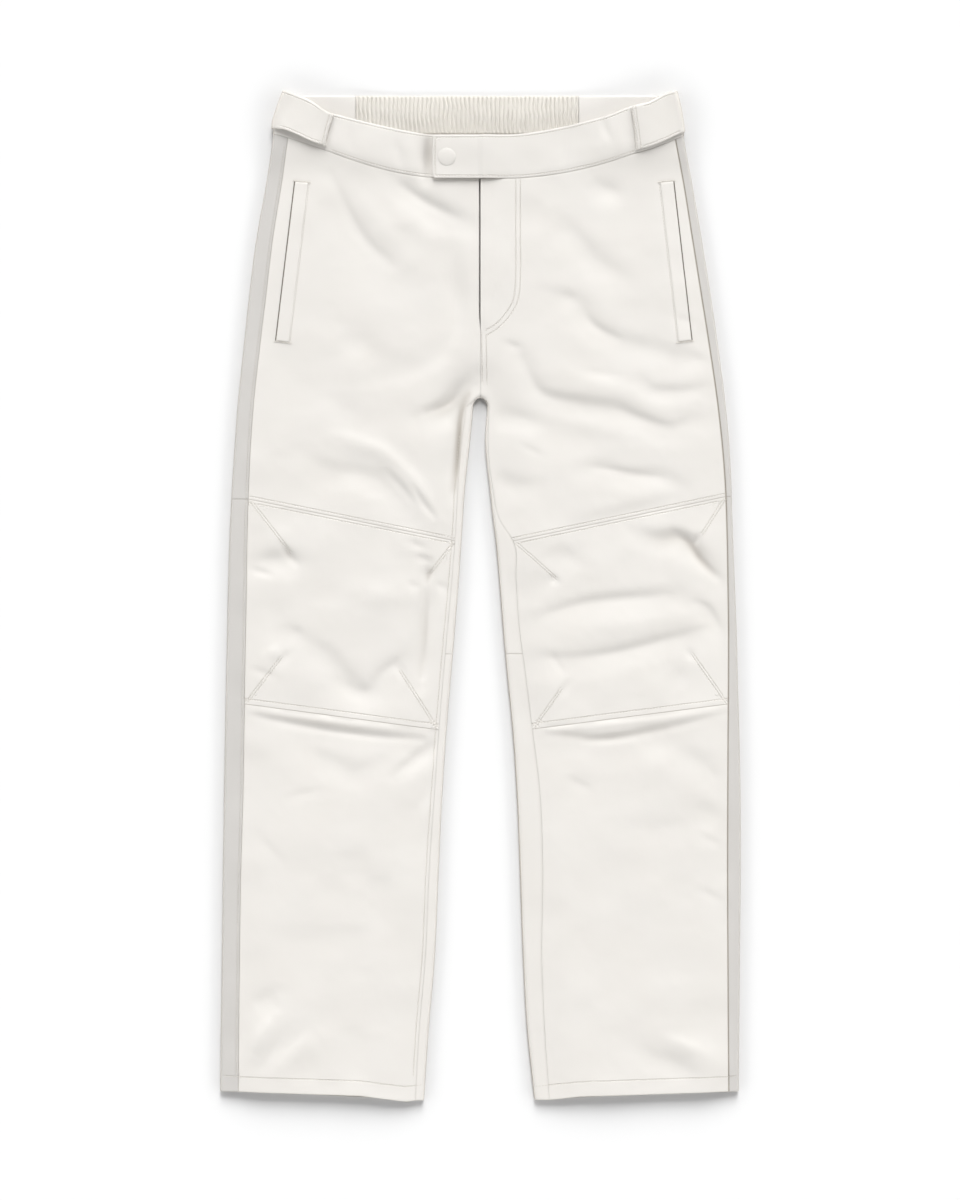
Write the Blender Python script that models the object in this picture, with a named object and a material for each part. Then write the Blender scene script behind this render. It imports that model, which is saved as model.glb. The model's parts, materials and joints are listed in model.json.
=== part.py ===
"""Leather motorcycle pants, laid flat on their back with the waist at +Y.

Every panel is a leather wall that lies on one shared surface: a front layer and a back layer joined by
a rounded fold down each side of each leg. A place on it is given as a maker measures it, in millimetres:
"across" from the centre line and "down" from the top of the waist. The wearer's right is at -X.
"""

import bmesh
import bpy
import numpy as np

MM = 0.001

# Driving sizes, in millimetres
LENGTH = 1089.8
FOLD_RADIUS = 3.0
LEATHER = 1.4
SEAM_GAP = 0.3
STRIPE_WIDTH = 40.0
HEM_HEIGHT = 16.0
HEM_EXTRA = 1.0
PUFF = 3.2
PUFF_EASE = 50.0
RELIEF_LIMIT = 4.2
RELIEF_EASE = 16.0

# Crotch arch: the gap between the legs ends in a half ellipse
ARCH_TOP = 332.0
ARCH_HEIGHT = 10.0
ARCH_BASE = ARCH_TOP + ARCH_HEIGHT

# Waist
WAIST_AT_FOLD = 48.0
BAND_WALL = 2.0
BAND_LIFT = 0.6
BACK_TOP = 5.5
BACK_SEAM = 46.6
BACK_LEVEL = 150.0
BACK_LEVEL_EASE = 60.0
PEAK_ACROSS = 212.0
PEAK_EASE = 18.0
SIDE_SEAM_BEHIND = 20.0
TAB_WALL = 1.4
TAB_LIFT = 2.6
TAB_BEHIND = 60.0
TAB_INSET = 1.0
TAB_BACK_EDGE = 44.5
TAB_FREE_EASE = 16.0
TAB_FOLD_EASE = 12.0
EXTENSION_END = -51.4
EXTENSION_TOP = 48.5
EXTENSION_BOTTOM = 95.4
EXTENSION_LIFT = 3.2
EXTENSION_LEVEL = 6.0
EXTENSION_EASE = 24.0
EXTENSION_NEAR = -7.0
ELASTIC_RIGHT = -134.4
ELASTIC_LEFT = 105.9
GATHERS = 52
GATHER_DEPTH = 1.1
ELASTIC_TOP = 3.0
ELASTIC_HEM = 4.0
FULLNESS = (0.5, 1.0, 1.0, 0.3)
SNAP_ACROSS = -36.1
SNAP_DOWN = 72.2
SNAP_RADIUS = 9.5
SNAP_HEIGHT = 1.3
WELT_WIDTH = 14.0
WELT_WALL = 1.2
WELT_LIFT = 1.6
FLY_END = 264.0
FLY_LIFT = 0.9
FLY_WIDTH = 12.0
FLY_EASE = 20.0

# How the waist stands off the floor on its own thickness: where each rise ends, and over what distance
BAND_RISE_FOOT = 90.0
BAND_RISE_EASE = 35.0
TAB_RISE_FOOT = 100.0
TAB_RISE_EASE = 45.0
TAB_RISE_START = 88.0
TAB_RISE_WIDTH = 52.0

# How finely the panels are divided
FRONT_COLUMNS = 11
BAND_ROWS = 3
EXTENSION_COLUMNS = 6
TAB_COLUMNS = 5
BACK_BAND_COLUMNS = 6
WELT_ROWS = 11
SNAP_SIDES = 24
CURVE_PARTS = 4
DARK_SIDE = 0.5
BACK_COLUMNS = 3
BACK_MARGIN = 8.0
HIP_ROWS = 11
THIGH_ROWS = 7
KNEE_ROWS = 10
BACK_SEAM_ROW = 6
SHIN_ROWS = 12
ARCH_SHIFTS = (2.0, 5.0, 10.0)
ARCH_SLIP = 0.005
WRAP_SHARES = (0.35, 0.7, 1.0)

# Where the rounds that fit places to the outline start, and how many there are
SIDE_GUESS = 215.0
INNER_GUESS = 20.0
SETTLE_ROUNDS = 14

RIGHT, LEFT = -1, 1
FRONT, BACK = 1, -1

# The cut of each leg. Columns, in millimetres: down, outer fold, front side seam, inner fold, inner seam,
# each measured across from the centre line. Above the crotch the panels meet on the centre line.
RIGHT_LEG = np.array(
    [
        (0, 210.7, 193.0, 8.1, 15.6),
        (17, 217.1, 199.0, 8.1, 15.6),
        (34, 222.4, 204.5, 8.1, 15.6),
        (46, 223.4, 206.6, 8.1, 15.6),
        (99, 231.2, 214.4, 8.1, 15.6),
        (160, 242.0, 224.1, 8.1, 15.6),
        (220, 249.6, 231.3, 8.1, 15.6),
        (280, 256.0, 238.6, 8.1, 15.6),
        (342, 262.4, 245.2, 8.1, 15.6),
        (373, 264.6, 247.4, 10.8, 19.4),
        (431, 268.4, 250.2, 16.9, 24.6),
        (476, 270.6, 251.6, 19.9, 27.0),
        (528, 272.2, 252.4, 23.4, 30.9),
        (580, 273.3, 253.2, 27.5, 35.6),
        (632, 274.4, 254.2, 31.8, 40.2),
        (683, 275.4, 254.9, 36.1, 44.4),
        (761, 276.7, 256.2, 41.3, 49.9),
        (839, 277.9, 258.4, 45.0, 55.3),
        (942, 279.1, 260.0, 49.8, 60.0),
        (1010, 280.1, 260.7, 55.6, 66.0),
        (1091, 281.0, 261.2, 61.2, 70.5),
    ]
)
LEFT_LEG = np.array(
    [
        (0, 209.7, 199.0, 9.2, 11.0),
        (17, 214.0, 203.6, 9.2, 11.0),
        (34, 217.0, 207.0, 9.2, 11.0),
        (46, 218.6, 209.0, 9.2, 11.0),
        (99, 228.4, 219.0, 9.2, 11.0),
        (160, 238.8, 228.8, 9.2, 11.0),
        (220, 248.5, 238.3, 9.2, 11.0),
        (280, 257.1, 247.8, 9.2, 11.0),
        (342, 265.0, 256.6, 7.6, 9.6),
        (373, 267.9, 260.1, 5.2, 8.2),
        (431, 271.1, 264.6, 10.2, 13.6),
        (464, 272.0, 265.8, 13.8, 21.0),
        (487, 272.8, 266.4, 16.6, 35.6),
        (528, 274.4, 267.0, 20.2, 38.4),
        (580, 276.5, 267.7, 24.3, 42.0),
        (632, 277.8, 267.6, 28.9, 48.8),
        (683, 279.2, 267.2, 34.0, 55.2),
        (761, 280.8, 266.8, 39.3, 64.4),
        (839, 281.0, 266.6, 42.4, 67.2),
        (942, 280.0, 267.0, 46.2, 66.2),
        (1010, 279.4, 267.4, 50.0, 69.0),
        (1091, 278.6, 268.0, 58.4, 74.6),
    ]
)
LEGS = {RIGHT: RIGHT_LEG, LEFT: LEFT_LEG}
OUTER_FOLD, SIDE_SEAM, INNER_FOLD, INNER_SEAM = 1, 2, 3, 4

# The front waist. Columns: across, top edge of the band, waist seam (both down), lower edge of the side tab
RIGHT_WAIST = np.array(
    [
        (0, 48.5, 95.4, 80.0),
        (48, 48.4, 94.6, 80.0),
        (72, 45.4, 92.2, 80.0),
        (110, 37.6, 84.2, 78.0),
        (150, 28.0, 71.6, 66.6),
        (164, 24.0, 66.4, 61.8),
        (182, 12.0, 60.0, 56.0),
        (200, 4.0, 54.0, 47.6),
        (211, 0.0, 50.4, 43.4),
        (224, 0.0, 47.2, 41.4),
    ]
)
LEFT_WAIST = np.array(
    [
        (0, 48.5, 95.4, 80.0),
        (48, 46.8, 94.6, 80.0),
        (82, 41.0, 90.6, 80.0),
        (110, 34.8, 85.2, 78.0),
        (140, 26.6, 77.2, 72.0),
        (164, 17.2, 69.4, 66.6),
        (182, 12.4, 64.2, 61.6),
        (200, 3.0, 57.6, 54.4),
        (211, 0.0, 52.8, 49.0),
        (219, 0.0, 49.6, 45.4),
    ]
)
WAISTS = {RIGHT: RIGHT_WAIST, LEFT: LEFT_WAIST}
BAND_TOP, WAIST_SEAM, TAB_EDGE = 1, 2, 3
TAB_FRONT = {RIGHT: 165.5, LEFT: 167.6}
TAB_STAND = {RIGHT: 2.6, LEFT: 1.0}

# Half of the snap's cap from its top to its foot. Columns: share of the radius, share of the height
SNAP_PROFILE = ((0.0, 1.0), (0.45, 0.94), (0.75, 0.78), (0.93, 0.5), (1.0, 0.2), (1.0, 0.0))

# Seams that run across a leg, each a straight line through two places given as (across, down)
KNEE_TOP = {RIGHT: ((250, 441), (27, 486)), LEFT: ((266, 438), (36, 486))}
KNEE_BOTTOM = {RIGHT: ((254, 662), (44, 690)), LEFT: ((267, 662), (56, 689))}
CROTCH_LINE = {RIGHT: ((244, 288), (0, ARCH_TOP)), LEFT: ((252, 288), (0, ARCH_TOP))}
HEM = {
    RIGHT: np.array([(61, 1088.4), (80, 1091.0), (129, 1084.4), (200, 1082.0), (262, 1080.0), (281, 1078.4)]),
    LEFT: np.array([(58, 1090.4), (80, 1088.4), (107, 1085.2), (195, 1082.4), (268, 1080.0), (281, 1078.4)]),
}

# Pocket welts. Each runs along a line from (across, down) at its top to (across, down) at its foot
WELT_LINE = {RIGHT: ((192.8, 99.5), (213.4, 271.0)), LEFT: ((201.0, 99.0), (220.6, 270.5))}

# The main creases, placed by eye. Columns: depth (a trough is negative), width, places as (x, down), all in
# millimetres, x being across with the wearer's left positive. The places are where the shaded or bright side
# shows, and the crease itself runs DARK_SIDE of its width further down.
CREASES = (
    # right thigh
    (-3.6, 13, ((-94, 91), (-66, 113), (-40, 129), (-16, 137))),
    (-1.8, 21, ((-155, 98), (-128, 150), (-88, 188))),
    (1.4, 16, ((-148, 92), (-112, 136), (-80, 172))),
    (-2.0, 13, ((-34, 150), (-26, 200), (-22, 240))),
    (-1.2, 18, ((-148, 250), (-104, 284))),
    (-3.6, 13, ((-65, 347), (-37, 340), (-22, 319), (-7, 304))),
    (-2.8, 9, ((-17, 340), (-22, 372), (-27, 432))),
    (1.9, 10, ((-158, 368), (-112, 382), (-82, 406), (-60, 434), (-48, 456))),
    (-2.1, 14, ((-192, 388), (-165, 404), (-128, 410), (-98, 424), (-74, 456))),
    # left thigh
    (-2.0, 13, ((84, 132), (107, 157), (125, 178), (154, 197))),
    (-2.0, 13, ((70, 213), (104, 224), (117, 244), (141, 262), (188, 275), (232, 287))),
    (-2.4, 12, ((40, 277), (50, 292), (59, 315), (82, 331), (143, 338), (172, 351), (206, 363), (226, 353))),
    (1.3, 18, ((70, 290), (130, 312), (190, 336))),
    (-1.6, 9, ((173, 309), (187, 320), (214, 321), (242, 317))),
    (-1.5, 12, ((12, 346), (40, 348), (68, 358))),
    (-1.9, 11, ((116, 402), (138, 404), (160, 412), (194, 412), (218, 424))),
    (-1.3, 11, ((16, 412), (36, 420), (58, 424))),
    (-1.4, 12, ((104, 462), (152, 452), (208, 438))),
    (-1.1, 14, ((118, 98), (160, 104))),
    # right knee
    (-2.2, 13, ((-240, 504), (-214, 500), (-186, 506))),
    (-2.6, 14, ((-206, 580), (-168, 602), (-144, 630), (-121, 643), (-100, 620), (-82, 609))),
    (-3.4, 9, ((-57, 508), (-55, 545), (-59, 585), (-63, 636))),
    (1.2, 16, ((-125, 534), (-92, 540))),
    (-1.2, 12, ((-224, 520), (-228, 590))),
    # left knee
    (-2.1, 12, ((62, 566), (93, 554), (143, 546), (179, 543), (211, 540))),
    (-1.9, 12, ((70, 606), (94, 612), (134, 606), (174, 596), (214, 588), (246, 580))),
    (0.6, 12, ((84, 588), (150, 574), (226, 562))),
    (-2.9, 12, ((162, 470), (190, 480), (214, 480), (230, 492), (244, 508), (258, 524))),
    (-1.8, 10, ((236, 550), (258, 578))),
    (-1.2, 12, ((88, 492), (110, 510))),
    (-0.9, 13, ((206, 618), (222, 636))),
    # shins
    (-1.3, 13, ((-240, 676), (-165, 690), (-60, 702))),
    (-2.2, 8, ((-92, 736), (-70, 717), (-48, 701))),
    (-1.6, 13, ((-198, 704), (-157, 720), (-136, 731), (-112, 722), (-84, 712))),
    (-1.3, 14, ((70, 704), (150, 700), (258, 682))),
    (-1.3, 12, ((205, 702), (240, 722), (258, 748))),
    (-0.8, 15, ((160, 792), (226, 788))),
    (-0.8, 12, ((232, 768), (258, 782))),
    (-1.4, 13, ((176, 1034), (212, 1046), (236, 1058))),
    (1.5, 18, ((196, 1010), (252, 1036))),
    (-1.2, 12, ((-244, 984), (-220, 968))),
    (1.4, 15, ((-246, 1030), (-222, 996))),
    (1.2, 13, ((-210, 1046), (-172, 1020))),
    (1.5, 44, ((-236, 1072), (-80, 1080))),
    (1.5, 44, ((90, 1082), (250, 1074))),
)


def smooth_table(table, column, at):
    """Reads a column of a table at any place of its first column, along a smooth curve through its rows."""
    places, values = table[:, 0], table[:, column]
    slopes = np.gradient(values, places)
    at = np.clip(at, places[0], places[-1])
    i = np.clip(np.searchsorted(places, at, side="right") - 1, 0, len(places) - 2)
    span = places[i + 1] - places[i]
    t = (at - places[i]) / span
    rise = t * t * (3 - 2 * t)
    start = values[i] * (1 - rise) + span * slopes[i] * t * (1 - t) ** 2
    return start + values[i + 1] * rise - span * slopes[i + 1] * t * t * (1 - t)


def blend(start, end, t):
    return start + (end - start) * t


def ease(t):
    """A soft step from 0 to 1."""
    t = np.clip(t, 0.0, 1.0)
    return t * t * (3 - 2 * t)


def line_down(points, across):
    """How far down a straight seam lies at a distance across."""
    (across_1, down_1), (across_2, down_2) = points
    return down_1 + (down_2 - down_1) * (across - across_1) / (across_2 - across_1)


def inner_fold(side, down):
    """The inner fold of a leg, which closes into the arch at the crotch."""
    straight = smooth_table(LEGS[side], INNER_FOLD, np.maximum(down, ARCH_BASE))
    up = np.clip((ARCH_BASE - down) / ARCH_HEIGHT, 0.0, 1.0)
    return straight * np.sqrt(1 - up * up)


def inner_seam(side, down):
    """The inner seam on the front: the centre line above the crotch, the edge of the wrap below it."""
    wrap = smooth_table(LEGS[side], INNER_SEAM, np.maximum(down, ARCH_BASE)) - smooth_table(
        LEGS[side], INNER_FOLD, np.maximum(down, ARCH_BASE)
    )
    open_up = np.clip((down - ARCH_TOP) / ARCH_HEIGHT, 0.0, 1.0)
    below = inner_fold(side, down) + wrap * open_up**1.5
    return np.where(down < ARCH_TOP, 0.5 * SEAM_GAP, np.maximum(below, 0.5 * SEAM_GAP))


def edge_distance(x, down):
    """Distance in from the nearest fold: the outer folds, the inner folds and the arch."""
    found = np.zeros(np.shape(x))
    for side in (RIGHT, LEFT):
        across = np.maximum(x * side, 0.0)
        outer = smooth_table(LEGS[side], OUTER_FOLD, down) - across
        half_gap = inner_fold(side, np.maximum(down, ARCH_BASE))
        up = np.maximum(ARCH_BASE - down, 0.0)
        ray = np.hypot(across, up)
        scaled = np.hypot(across / half_gap, up / ARCH_HEIGHT)
        round_arch = ray * (1 - 1 / np.maximum(scaled, 1e-6))
        inner = np.where(down < ARCH_BASE, round_arch, across - half_gap)
        found = np.where(x * side >= 0, np.minimum(outer, inner), found)
    return found


def curve(places):
    """A smooth curve through some places, as a line of short straight parts."""
    table = np.column_stack((np.arange(len(places)), places)).astype(float)
    at = np.linspace(0.0, len(places) - 1.0, CURVE_PARTS * (len(places) - 1) + 1)
    return np.column_stack((smooth_table(table, 1, at), smooth_table(table, 2, at)))


def crease_relief(x, down):
    """The main creases as soft troughs and ridges, wider on their lower side and faded at their ends."""
    total = np.zeros(np.shape(x))
    for depth, width, places in CREASES:
        path = curve(places) + (0.0, DARK_SIDE * width)
        lengths = np.hypot(*(path[1:] - path[:-1]).T)
        before = np.concatenate(([0.0], np.cumsum(lengths)))
        nearest = np.full(np.shape(x), 1e9)
        strength = np.zeros(np.shape(x))
        for i, length in enumerate(lengths):
            run = (path[i + 1] - path[i]) / length
            along = (x - path[i, 0]) * run[0] + (down - path[i, 1]) * run[1]
            inside = np.clip(along, 0.0, length)
            off_x = x - path[i, 0] - run[0] * inside
            off_down = down - path[i, 1] - run[1] * inside
            distance = np.hypot(off_x, off_down)
            lower = (run[0] * off_down - run[1] * off_x) / np.maximum(distance, 1e-6)
            reach = distance / (width * (1.025 + 0.225 * lower))
            t = (before[i] + inside) / before[-1]
            fade = 0.2 + 0.8 * np.sin(np.pi * np.clip(0.06 + 0.88 * t, 0.0, 1.0))
            closer = distance < nearest
            strength = np.where(closer, depth * fade * np.exp(-(reach**2)), strength)
            nearest = np.where(closer, distance, nearest)
        total = total + strength
    return RELIEF_LIMIT * np.tanh(total / RELIEF_LIMIT)


def front_height(x, down, distance):
    """How far the front layer stands above its lowest lie: the air in the leg, the creases and the fly."""
    puff = PUFF * ease(distance / PUFF_EASE)
    fly = FLY_LIFT * np.exp(-((x / FLY_WIDTH) ** 2)) * ease((FLY_END - down) / FLY_EASE) * (x > 0)
    return puff + crease_relief(x, down) * ease(distance / RELIEF_EASE) + fly


def rise(x, down):
    """How far both layers stand off the floor, on the thick waistband and the side tabs beneath them."""
    band = BAND_LIFT * ease((BAND_RISE_FOOT - down) / BAND_RISE_EASE)
    aside = ease((np.abs(x) - TAB_RISE_START) / TAB_RISE_WIDTH)
    return band + (TAB_LIFT - BAND_LIFT) * ease((TAB_RISE_FOOT - down) / TAB_RISE_EASE) * aside


def surface(x, down, face):
    """The outer surface of the pants and its outward normal, at given places on the front or the back."""
    step = 0.05
    lean = np.clip(1 - edge_distance(x, down) / FOLD_RADIUS, 0.0, 1.0)
    upright = np.sqrt(1 - lean * lean)
    front = face == FRONT

    def height(x, down):
        near = edge_distance(x, down)
        return np.where(front, front_height(x, down, near), 0.0) + rise(x, down)

    z = height(x, down) + FOLD_RADIUS * (1 + face * upright)
    away_x = (edge_distance(x - step, down) - edge_distance(x + step, down)) / (2 * step)
    away_y = (edge_distance(x, down + step) - edge_distance(x, down - step)) / (2 * step)
    slope_x = (height(x + step, down) - height(x - step, down)) / (2 * step)
    slope_y = (height(x, down - step) - height(x, down + step)) / (2 * step)
    away = np.maximum(np.hypot(away_x, away_y), 1e-9)
    normal = np.stack(
        (
            lean * away_x / away - face * upright * slope_x,
            lean * away_y / away - face * upright * slope_y,
            face * upright,
        ),
        axis=-1,
    )
    normal /= np.linalg.norm(normal, axis=-1, keepdims=True)
    return np.stack((x, LENGTH / 2 - down, z), axis=-1), normal


def wall(name, material, place, thickness=LEATHER, lift=0.0):
    """A closed leather wall on a grid of places (x, down, face), its outer side lifted off the surface."""
    x, down, face = np.broadcast_arrays(*place)
    points, normals = surface(x, down, face)
    thickness = np.broadcast_to(thickness, x.shape)[..., None]
    lift = np.broadcast_to(lift, x.shape)[..., None]
    outer = points + normals * lift
    inner = points + normals * (lift - thickness)
    rows, columns = x.shape
    index = np.arange(rows * columns).reshape(rows, columns)
    behind = index + rows * columns
    faces = []
    for i in range(rows - 1):
        for j in range(columns - 1):
            ring = (index[i, j], index[i, j + 1], index[i + 1, j + 1], index[i + 1, j])
            faces.append(ring)
            faces.append(tuple(k + rows * columns for k in reversed(ring)))
    rim = list(index[0, :-1]) + list(index[:-1, -1]) + list(index[-1, :0:-1]) + list(index[:0:-1, 0])
    back = dict(zip(index.ravel(), behind.ravel()))
    for here, there in zip(rim, rim[1:] + rim[:1]):
        faces.append((there, here, back[here], back[there]))
    vertices = np.concatenate((outer.reshape(-1, 3), inner.reshape(-1, 3))) * MM
    return finish(name, material, vertices, faces)


def finish(name, material, vertices, faces):
    """Makes the object of one piece, its faces pointing out and its round stretches smooth."""
    mesh = bpy.data.meshes.new(name)
    mesh.from_pydata(vertices.tolist(), [], [[int(k) for k in ring] for ring in faces])
    shape = bmesh.new()
    shape.from_mesh(mesh)
    bmesh.ops.recalc_face_normals(shape, faces=shape.faces)
    shape.to_mesh(mesh)
    shape.free()
    mesh.shade_smooth()
    mesh.set_sharp_from_angle(angle=np.radians(40))
    mesh.materials.append(material)
    piece = bpy.data.objects.new(name, mesh)
    pants.objects.link(piece)
    return piece


def new_material(name, colour, roughness):
    material = bpy.data.materials.new(name)
    material.use_nodes = True
    shader = material.node_tree.nodes["Principled BSDF"]
    shader.inputs["Base Color"].default_value = (*colour, 1.0)
    shader.inputs["Roughness"].default_value = roughness
    shader.inputs["Metallic"].default_value = 0.0
    return material


def between(guides, steps):
    """Rows laid between guide lines: each row blends the guide above it into the one below it."""
    rows = [(0, 0.0)]
    for i, count in enumerate(steps):
        rows += [(i, k / count) for k in range(1, count + 1)]

    def down_at(across):
        down = np.empty(across.shape)
        for k, (i, t) in enumerate(rows):
            down[k] = blend(guides[i](across[k]), guides[i + 1](across[k]), t)
        return down

    return down_at, len(rows)


def front_panel(side, guides, steps):
    """Places of a front panel, its columns spread from the side seam to the inner seam."""
    down_at, rows = between(guides, steps)
    share = np.linspace(0.0, 1.0, FRONT_COLUMNS + 1)[None, :] * np.ones((rows, 1))
    across = blend(SIDE_GUESS, INNER_GUESS, share)
    for _ in range(SETTLE_ROUNDS):
        down = down_at(across)
        side_seam = smooth_table(LEGS[side], SIDE_SEAM, down) - 0.5 * SEAM_GAP
        centre = inner_seam(side, down)
        below = np.where(down > ARCH_TOP + 1.0, 0.5 * SEAM_GAP, 0.0)
        across = blend(side_seam, centre + below, share)
    return across, down


def fold_offset(along):
    """Plan distance in from a fold for a distance along the leather from the fold's crest."""
    quarter = FOLD_RADIUS * np.pi / 2
    turned = FOLD_RADIUS * (1 - np.cos(np.minimum(along, quarter) / FOLD_RADIUS))
    return np.where(along < quarter, turned, FOLD_RADIUS + along - quarter)


def fold_length(offset):
    """The reverse of fold_offset."""
    quarter = FOLD_RADIUS * np.pi / 2
    turned = FOLD_RADIUS * np.arccos(np.clip(1 - offset / FOLD_RADIUS, -1.0, 1.0))
    return np.where(offset < FOLD_RADIUS, turned, quarter + offset - FOLD_RADIUS)


def front_panels(side, name, leather):
    """Thigh, knee and shin panels of one leg, with the rows that they share at their seams."""
    half = 0.5 * SEAM_GAP

    def waist(across):
        return smooth_table(WAISTS[side], WAIST_SEAM, across) + half

    def hem(across):
        return np.interp(across, HEM[side][:, 0], HEM[side][:, 1])

    def hem_fold(across):
        return hem(across) - HEM_HEIGHT

    def seam(line, shift):
        return lambda across: line_down(line, across) + shift

    crotch = seam(CROTCH_LINE[side], -ARCH_SLIP)
    arch = [seam(CROTCH_LINE[side], shift) for shift in ARCH_SHIFTS]
    knee_top, knee_bottom = KNEE_TOP[side], KNEE_BOTTOM[side]
    thigh_guides = [waist, crotch, *arch, seam(knee_top, -half)]
    thigh = front_panel(side, thigh_guides, (HIP_ROWS, 1, 1, 1, THIGH_ROWS))
    knee = front_panel(side, [seam(knee_top, half), seam(knee_bottom, -half)], (KNEE_ROWS,))
    shin = front_panel(side, [seam(knee_bottom, half), hem_fold, hem], (SHIN_ROWS, 1))
    wall("front_thigh_" + name, leather, (side * thigh[0], thigh[1], FRONT))
    wall("front_knee_" + name, leather, (side * knee[0], knee[1], FRONT))
    thickness = LEATHER + HEM_EXTRA * (np.arange(SHIN_ROWS + 2) > SHIN_ROWS)[:, None]
    wall("front_shin_" + name, leather, (side * shin[0], shin[1], FRONT), thickness)
    return thigh, knee, shin


def stripe_front(side, down):
    """How much of a stripe shows on the front."""
    return smooth_table(LEGS[side], OUTER_FOLD, down) - smooth_table(LEGS[side], SIDE_SEAM, down)


def side_stripe(side, name, grey, downs, extra, at_waist):
    """A stripe round the outer fold, its rows level with those of the front panel beside it."""
    half = 0.5 * SEAM_GAP
    level = np.ones((len(downs), 1))
    down = downs[:, None] * np.ones((1, 7))
    corner = FOLD_RADIUS * (1 - np.sqrt(0.5))
    face = np.array([[FRONT] * 3 + [BACK] * 4])
    for _ in range(SETTLE_ROUNDS):
        outer = smooth_table(LEGS[side], OUTER_FOLD, down)
        front = stripe_front(side, down)
        offsets = [front[:, :1] - half]
        offsets += [level * k for k in (FOLD_RADIUS, corner, 0.0, corner, FOLD_RADIUS)]
        offsets += [STRIPE_WIDTH - front[:, -1:] - half]
        across = outer - np.hstack(offsets)
        if at_waist:
            on_front = smooth_table(WAISTS[side], WAIST_SEAM, across[0])
            down[0] = np.where(face[0] == FRONT, on_front, back_seam(side, across[0])) + half
    wall("side_stripe_" + name, grey, (side * across, down, face), LEATHER + extra[:, None])


def back_seam(side, across):
    """The waist seam on the back: it leaves the front seam at the fold and runs level along the back."""
    return blend(BACK_SEAM, WAISTS[side][-1, WAIST_SEAM], ease((across - BACK_LEVEL) / BACK_LEVEL_EASE))


def back_panel(side, name, leather, outer_downs, inner_downs, extra, at_waist):
    """A back panel: flat on the floor from the side seam, round the inner fold and on to the front seam.

    Its rows meet those of the stripe at one end and those of the front panels at the other.
    """
    half = 0.5 * SEAM_GAP
    level = np.ones((len(inner_downs), 1))
    out, into = outer_downs[:, None].copy(), inner_downs[:, None]
    for _ in range(SETTLE_ROUNDS):
        fold = smooth_table(LEGS[side], OUTER_FOLD, out)
        start = fold - STRIPE_WIDTH + stripe_front(side, out) - half
        if at_waist:
            out[0] = back_seam(side, start[0]) + half
    quarter = FOLD_RADIUS * np.pi / 2
    ahead = quarter + BACK_MARGIN
    crest = inner_fold(side, into)
    seam = fold_length(inner_seam(side, into) - crest) - half
    turning = [level * k for k in (ahead, quarter, quarter / 2, 0.0)]
    along = np.hstack(turning + [-seam * k for k in WRAP_SHARES])
    wrap = crest + fold_offset(np.abs(along))
    above = into < ARCH_TOP
    wrap = np.where(above, half + ahead * (1 - np.arange(7) / 6.0)[None, :], wrap)
    wrap_face = np.where(above | (along >= 0), BACK, FRONT)
    share = np.linspace(0.0, 1.0, BACK_COLUMNS + 1)[None, :-1]
    across = np.hstack([blend(start, wrap[:, :1], share), wrap])
    down = np.hstack([blend(out, into, share), into * np.ones((1, 7))])
    face = np.hstack([np.full((len(into), BACK_COLUMNS), BACK), wrap_face])
    if at_waist:
        down[0] = back_seam(side, across[0]) + half
    wall("back_" + name, leather, (side * across, down, face), LEATHER + extra[:, None])


def joined(upper, lower):
    """The rows of two panels with the two rows beside their seam taken as one."""
    return np.concatenate((upper[:-1], [0.5 * (upper[-1] + lower[0])], lower[1:]))


def leg(side, name, leather, grey):
    """One leg: three front panels, two stripe lengths and two back panels."""
    half = 0.5 * SEAM_GAP
    thigh, knee, shin = front_panels(side, name, leather)
    extra = HEM_EXTRA * (np.arange(len(shin[1])) == len(shin[1]) - 1)
    below_knee = np.concatenate((np.zeros(len(knee[1]) - 1), extra))
    side_rows = [panel[1][:, 0] for panel in (thigh, knee, shin)]
    inner_rows = [panel[1][:, -1] for panel in (thigh, knee, shin)]
    no_extra = np.zeros(len(side_rows[0]))
    side_stripe(side, "upper_" + name, grey, side_rows[0], no_extra, True)
    side_stripe(side, "lower_" + name, grey, joined(side_rows[1], side_rows[2]), below_knee, False)
    outer = joined(joined(side_rows[0], side_rows[1]), side_rows[2])
    inner = joined(joined(inner_rows[0], inner_rows[1]), inner_rows[2])
    inner[: HIP_ROWS + 1] = np.linspace(BACK_SEAM, inner[HIP_ROWS], HIP_ROWS + 1)
    split = len(side_rows[0]) - 1 + BACK_SEAM_ROW
    seat = [np.append(rows[:split], rows[split] - half) for rows in (outer, inner)]
    calf = [np.insert(rows[split + 1 :], 0, rows[split] + half) for rows in (outer, inner)]
    turned_up = HEM_EXTRA * (np.arange(len(calf[0])) == len(calf[0]) - 1)
    back_panel(side, "upper_" + name, leather, *seat, np.zeros(split + 1), True)
    back_panel(side, "lower_" + name, leather, *calf, turned_up, False)
    return thigh


def back_top(across):
    """The top edge of the back waist, which climbs to the peak at each side."""
    return BACK_TOP * ease((PEAK_ACROSS - across) / PEAK_EASE)


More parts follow.
